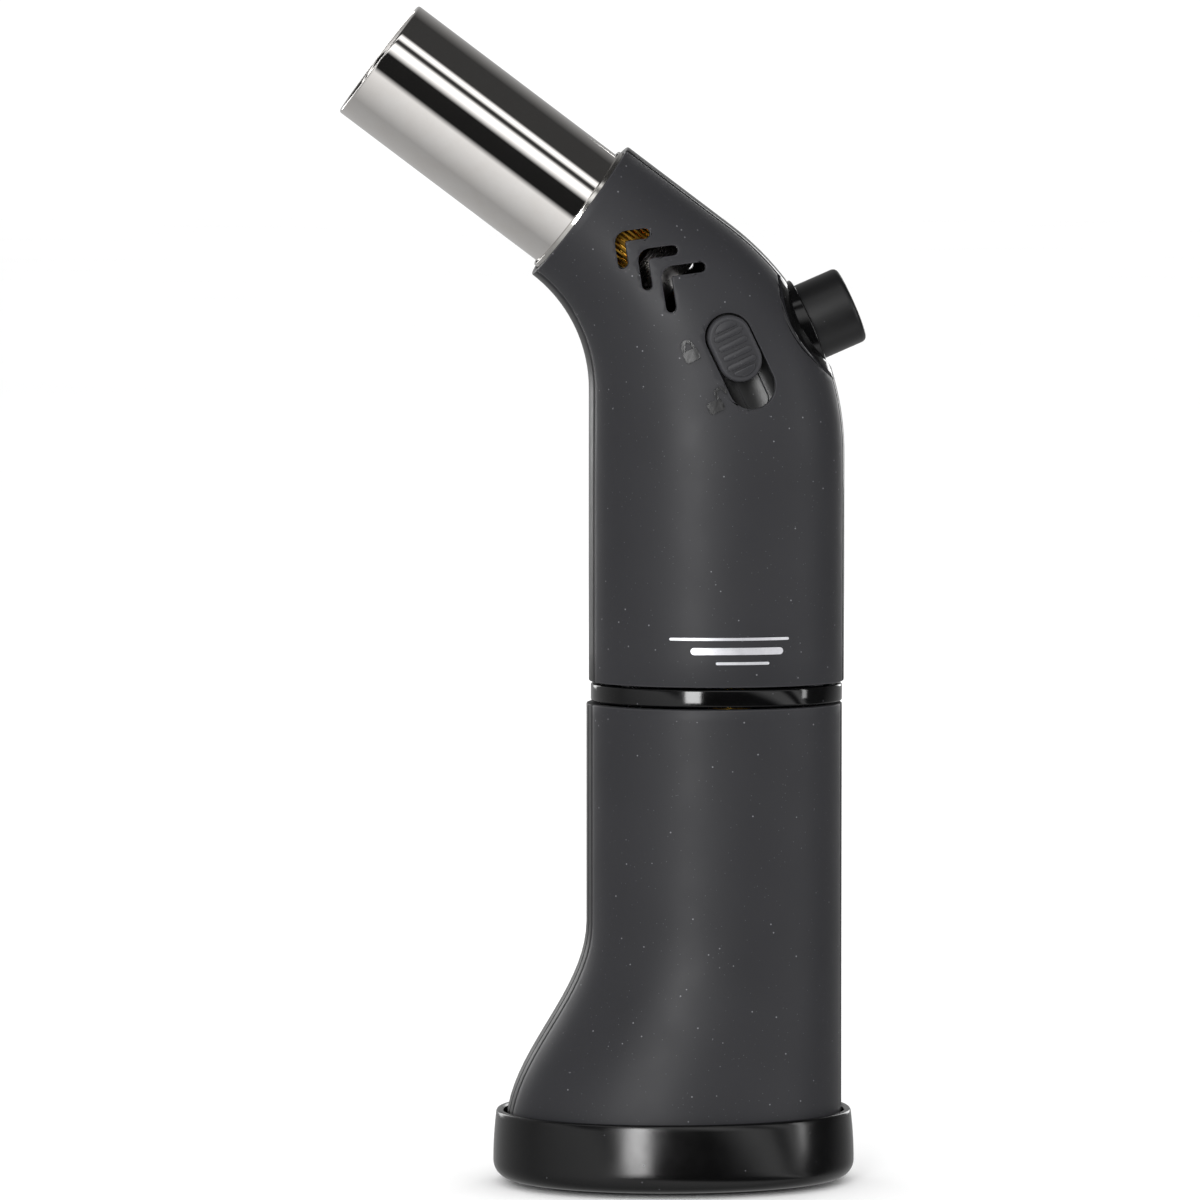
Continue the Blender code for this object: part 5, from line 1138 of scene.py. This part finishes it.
def studio_world():
    """Even white surround; what glossy finishes mirror is the studio's cards and strips."""
    world = bpy.data.worlds.new("studio")
    bpy.context.scene.world = world
    world.use_nodes = True
    tree = world.node_tree
    tree.nodes.clear()
    way = add(tree, "ShaderNodeTexCoord").outputs["Generated"]
    front = add(tree, "ShaderNodeVectorMath", {"operation": "DOT_PRODUCT", 1: (0.0, -1.0, 0.0)}, {0: way})
    above = add(tree, "ShaderNodeVectorMath", {"operation": "DOT_PRODUCT", 1: tuple(RISE)}, {0: way})
    angle = add(tree, "ShaderNodeMath", {"operation": "ARCTAN2"},
                {0: above.outputs["Value"], 1: front.outputs["Value"]})
    share = add(tree, "ShaderNodeMapRange", {1: -math.pi, 2: math.pi, 3: 0.0, 4: 1.0}, {0: angle.outputs[0]})
    ramp = add(tree, "ShaderNodeValToRGB", links={"Fac": share.outputs[0]})
    stops = ramp.color_ramp.elements
    for index, (degrees, colour) in enumerate(STUDIO):
        where = (degrees + 180.0) / 360.0
        stop = stops[0] if index == 0 else stops.new(where) if index < len(STUDIO) - 1 else stops[-1]
        stop.position = where
        stop.color = srgb(colour)
    seen = add(tree, "ShaderNodeBackground", {"Color": srgb("#ffffff"), "Strength": 1.08})
    mirrored = add(tree, "ShaderNodeBackground", {"Strength": 1.36}, {"Color": ramp.outputs["Color"]})
    path = add(tree, "ShaderNodeLightPath")
    both = add(tree, "ShaderNodeMixShader", links={0: path.outputs["Is Glossy Ray"], 1: seen.outputs[0],
                                                   2: mirrored.outputs[0]})
    end = add(tree, "ShaderNodeOutputWorld")
    tree.links.new(both.outputs[0], end.inputs[0])


def soft_box(name, aim, azimuth, rise, distance, width, height, power):
    """Upright rectangular light that faces a point; azimuth 0 is the front, positive to the right."""
    data = bpy.data.lights.new(name, "AREA")
    data.shape, data.size, data.size_y, data.energy = "RECTANGLE", width, height, power
    lamp = bpy.data.objects.new(name, data)
    bpy.context.scene.collection.objects.link(lamp)
    turn = math.radians(azimuth)
    where = Vector(aim) + Vector((math.sin(turn) * distance, -math.cos(turn) * distance, rise))
    lamp.location = where
    lamp.rotation_euler = (Vector(aim) - where).to_track_quat("-Z", "Y").to_euler()
    return lamp


def shaded_from(lamp, *pieces):
    """Flags these pieces off from a lamp, as a card beside it does in the studio."""
    cards = bpy.data.collections.new(lamp.name + "_cards")
    lamp.light_linking.receiver_collection = cards
    for index, piece in enumerate(pieces):
        cards.objects.link(piece)
        cards.collection_objects[index].light_linking.link_state = "EXCLUDE"


floor()
studio_world()
bpy.context.scene.view_settings.view_transform = "Standard"
MIDDLE = (0.0, 0.0, 0.08)
key = soft_box("key_strip", MIDDLE, -17.0, 0.12, 1.3, 0.27, 0.8, 12.0)
shaded_from(key, bpy.data.objects["burner_barrel"])
soft_box("side_strip", MIDDLE, 72.0, 0.2, 1.3, 0.12, 0.7, 2.0)
soft_box("rear_left_strip", MIDDLE, -150.0, 0.3, 1.3, 0.3, 0.7, 2.5)
soft_box("rear_right_strip", MIDDLE, 150.0, 0.3, 1.3, 0.3, 0.7, 2.5)

AIM, DISTANCE, TURN, EYE = Vector((-17.45 * MM, 0.0, 87.6 * MM)), 1.10, math.radians(-4.0), 158.0 * MM
camera = bpy.data.objects.new("camera", bpy.data.cameras.new("camera"))
bpy.context.scene.collection.objects.link(camera)
camera.location = (AIM.x + DISTANCE * math.sin(TURN), -DISTANCE * math.cos(TURN), EYE)
camera.rotation_euler = (AIM - camera.location).to_track_quat("-Z", "Y").to_euler()
camera.data.lens, camera.data.sensor_width = 220.8, 36.0
camera.data.clip_start, camera.data.clip_end = 0.05, 40.0
bpy.context.scene.camera = camera
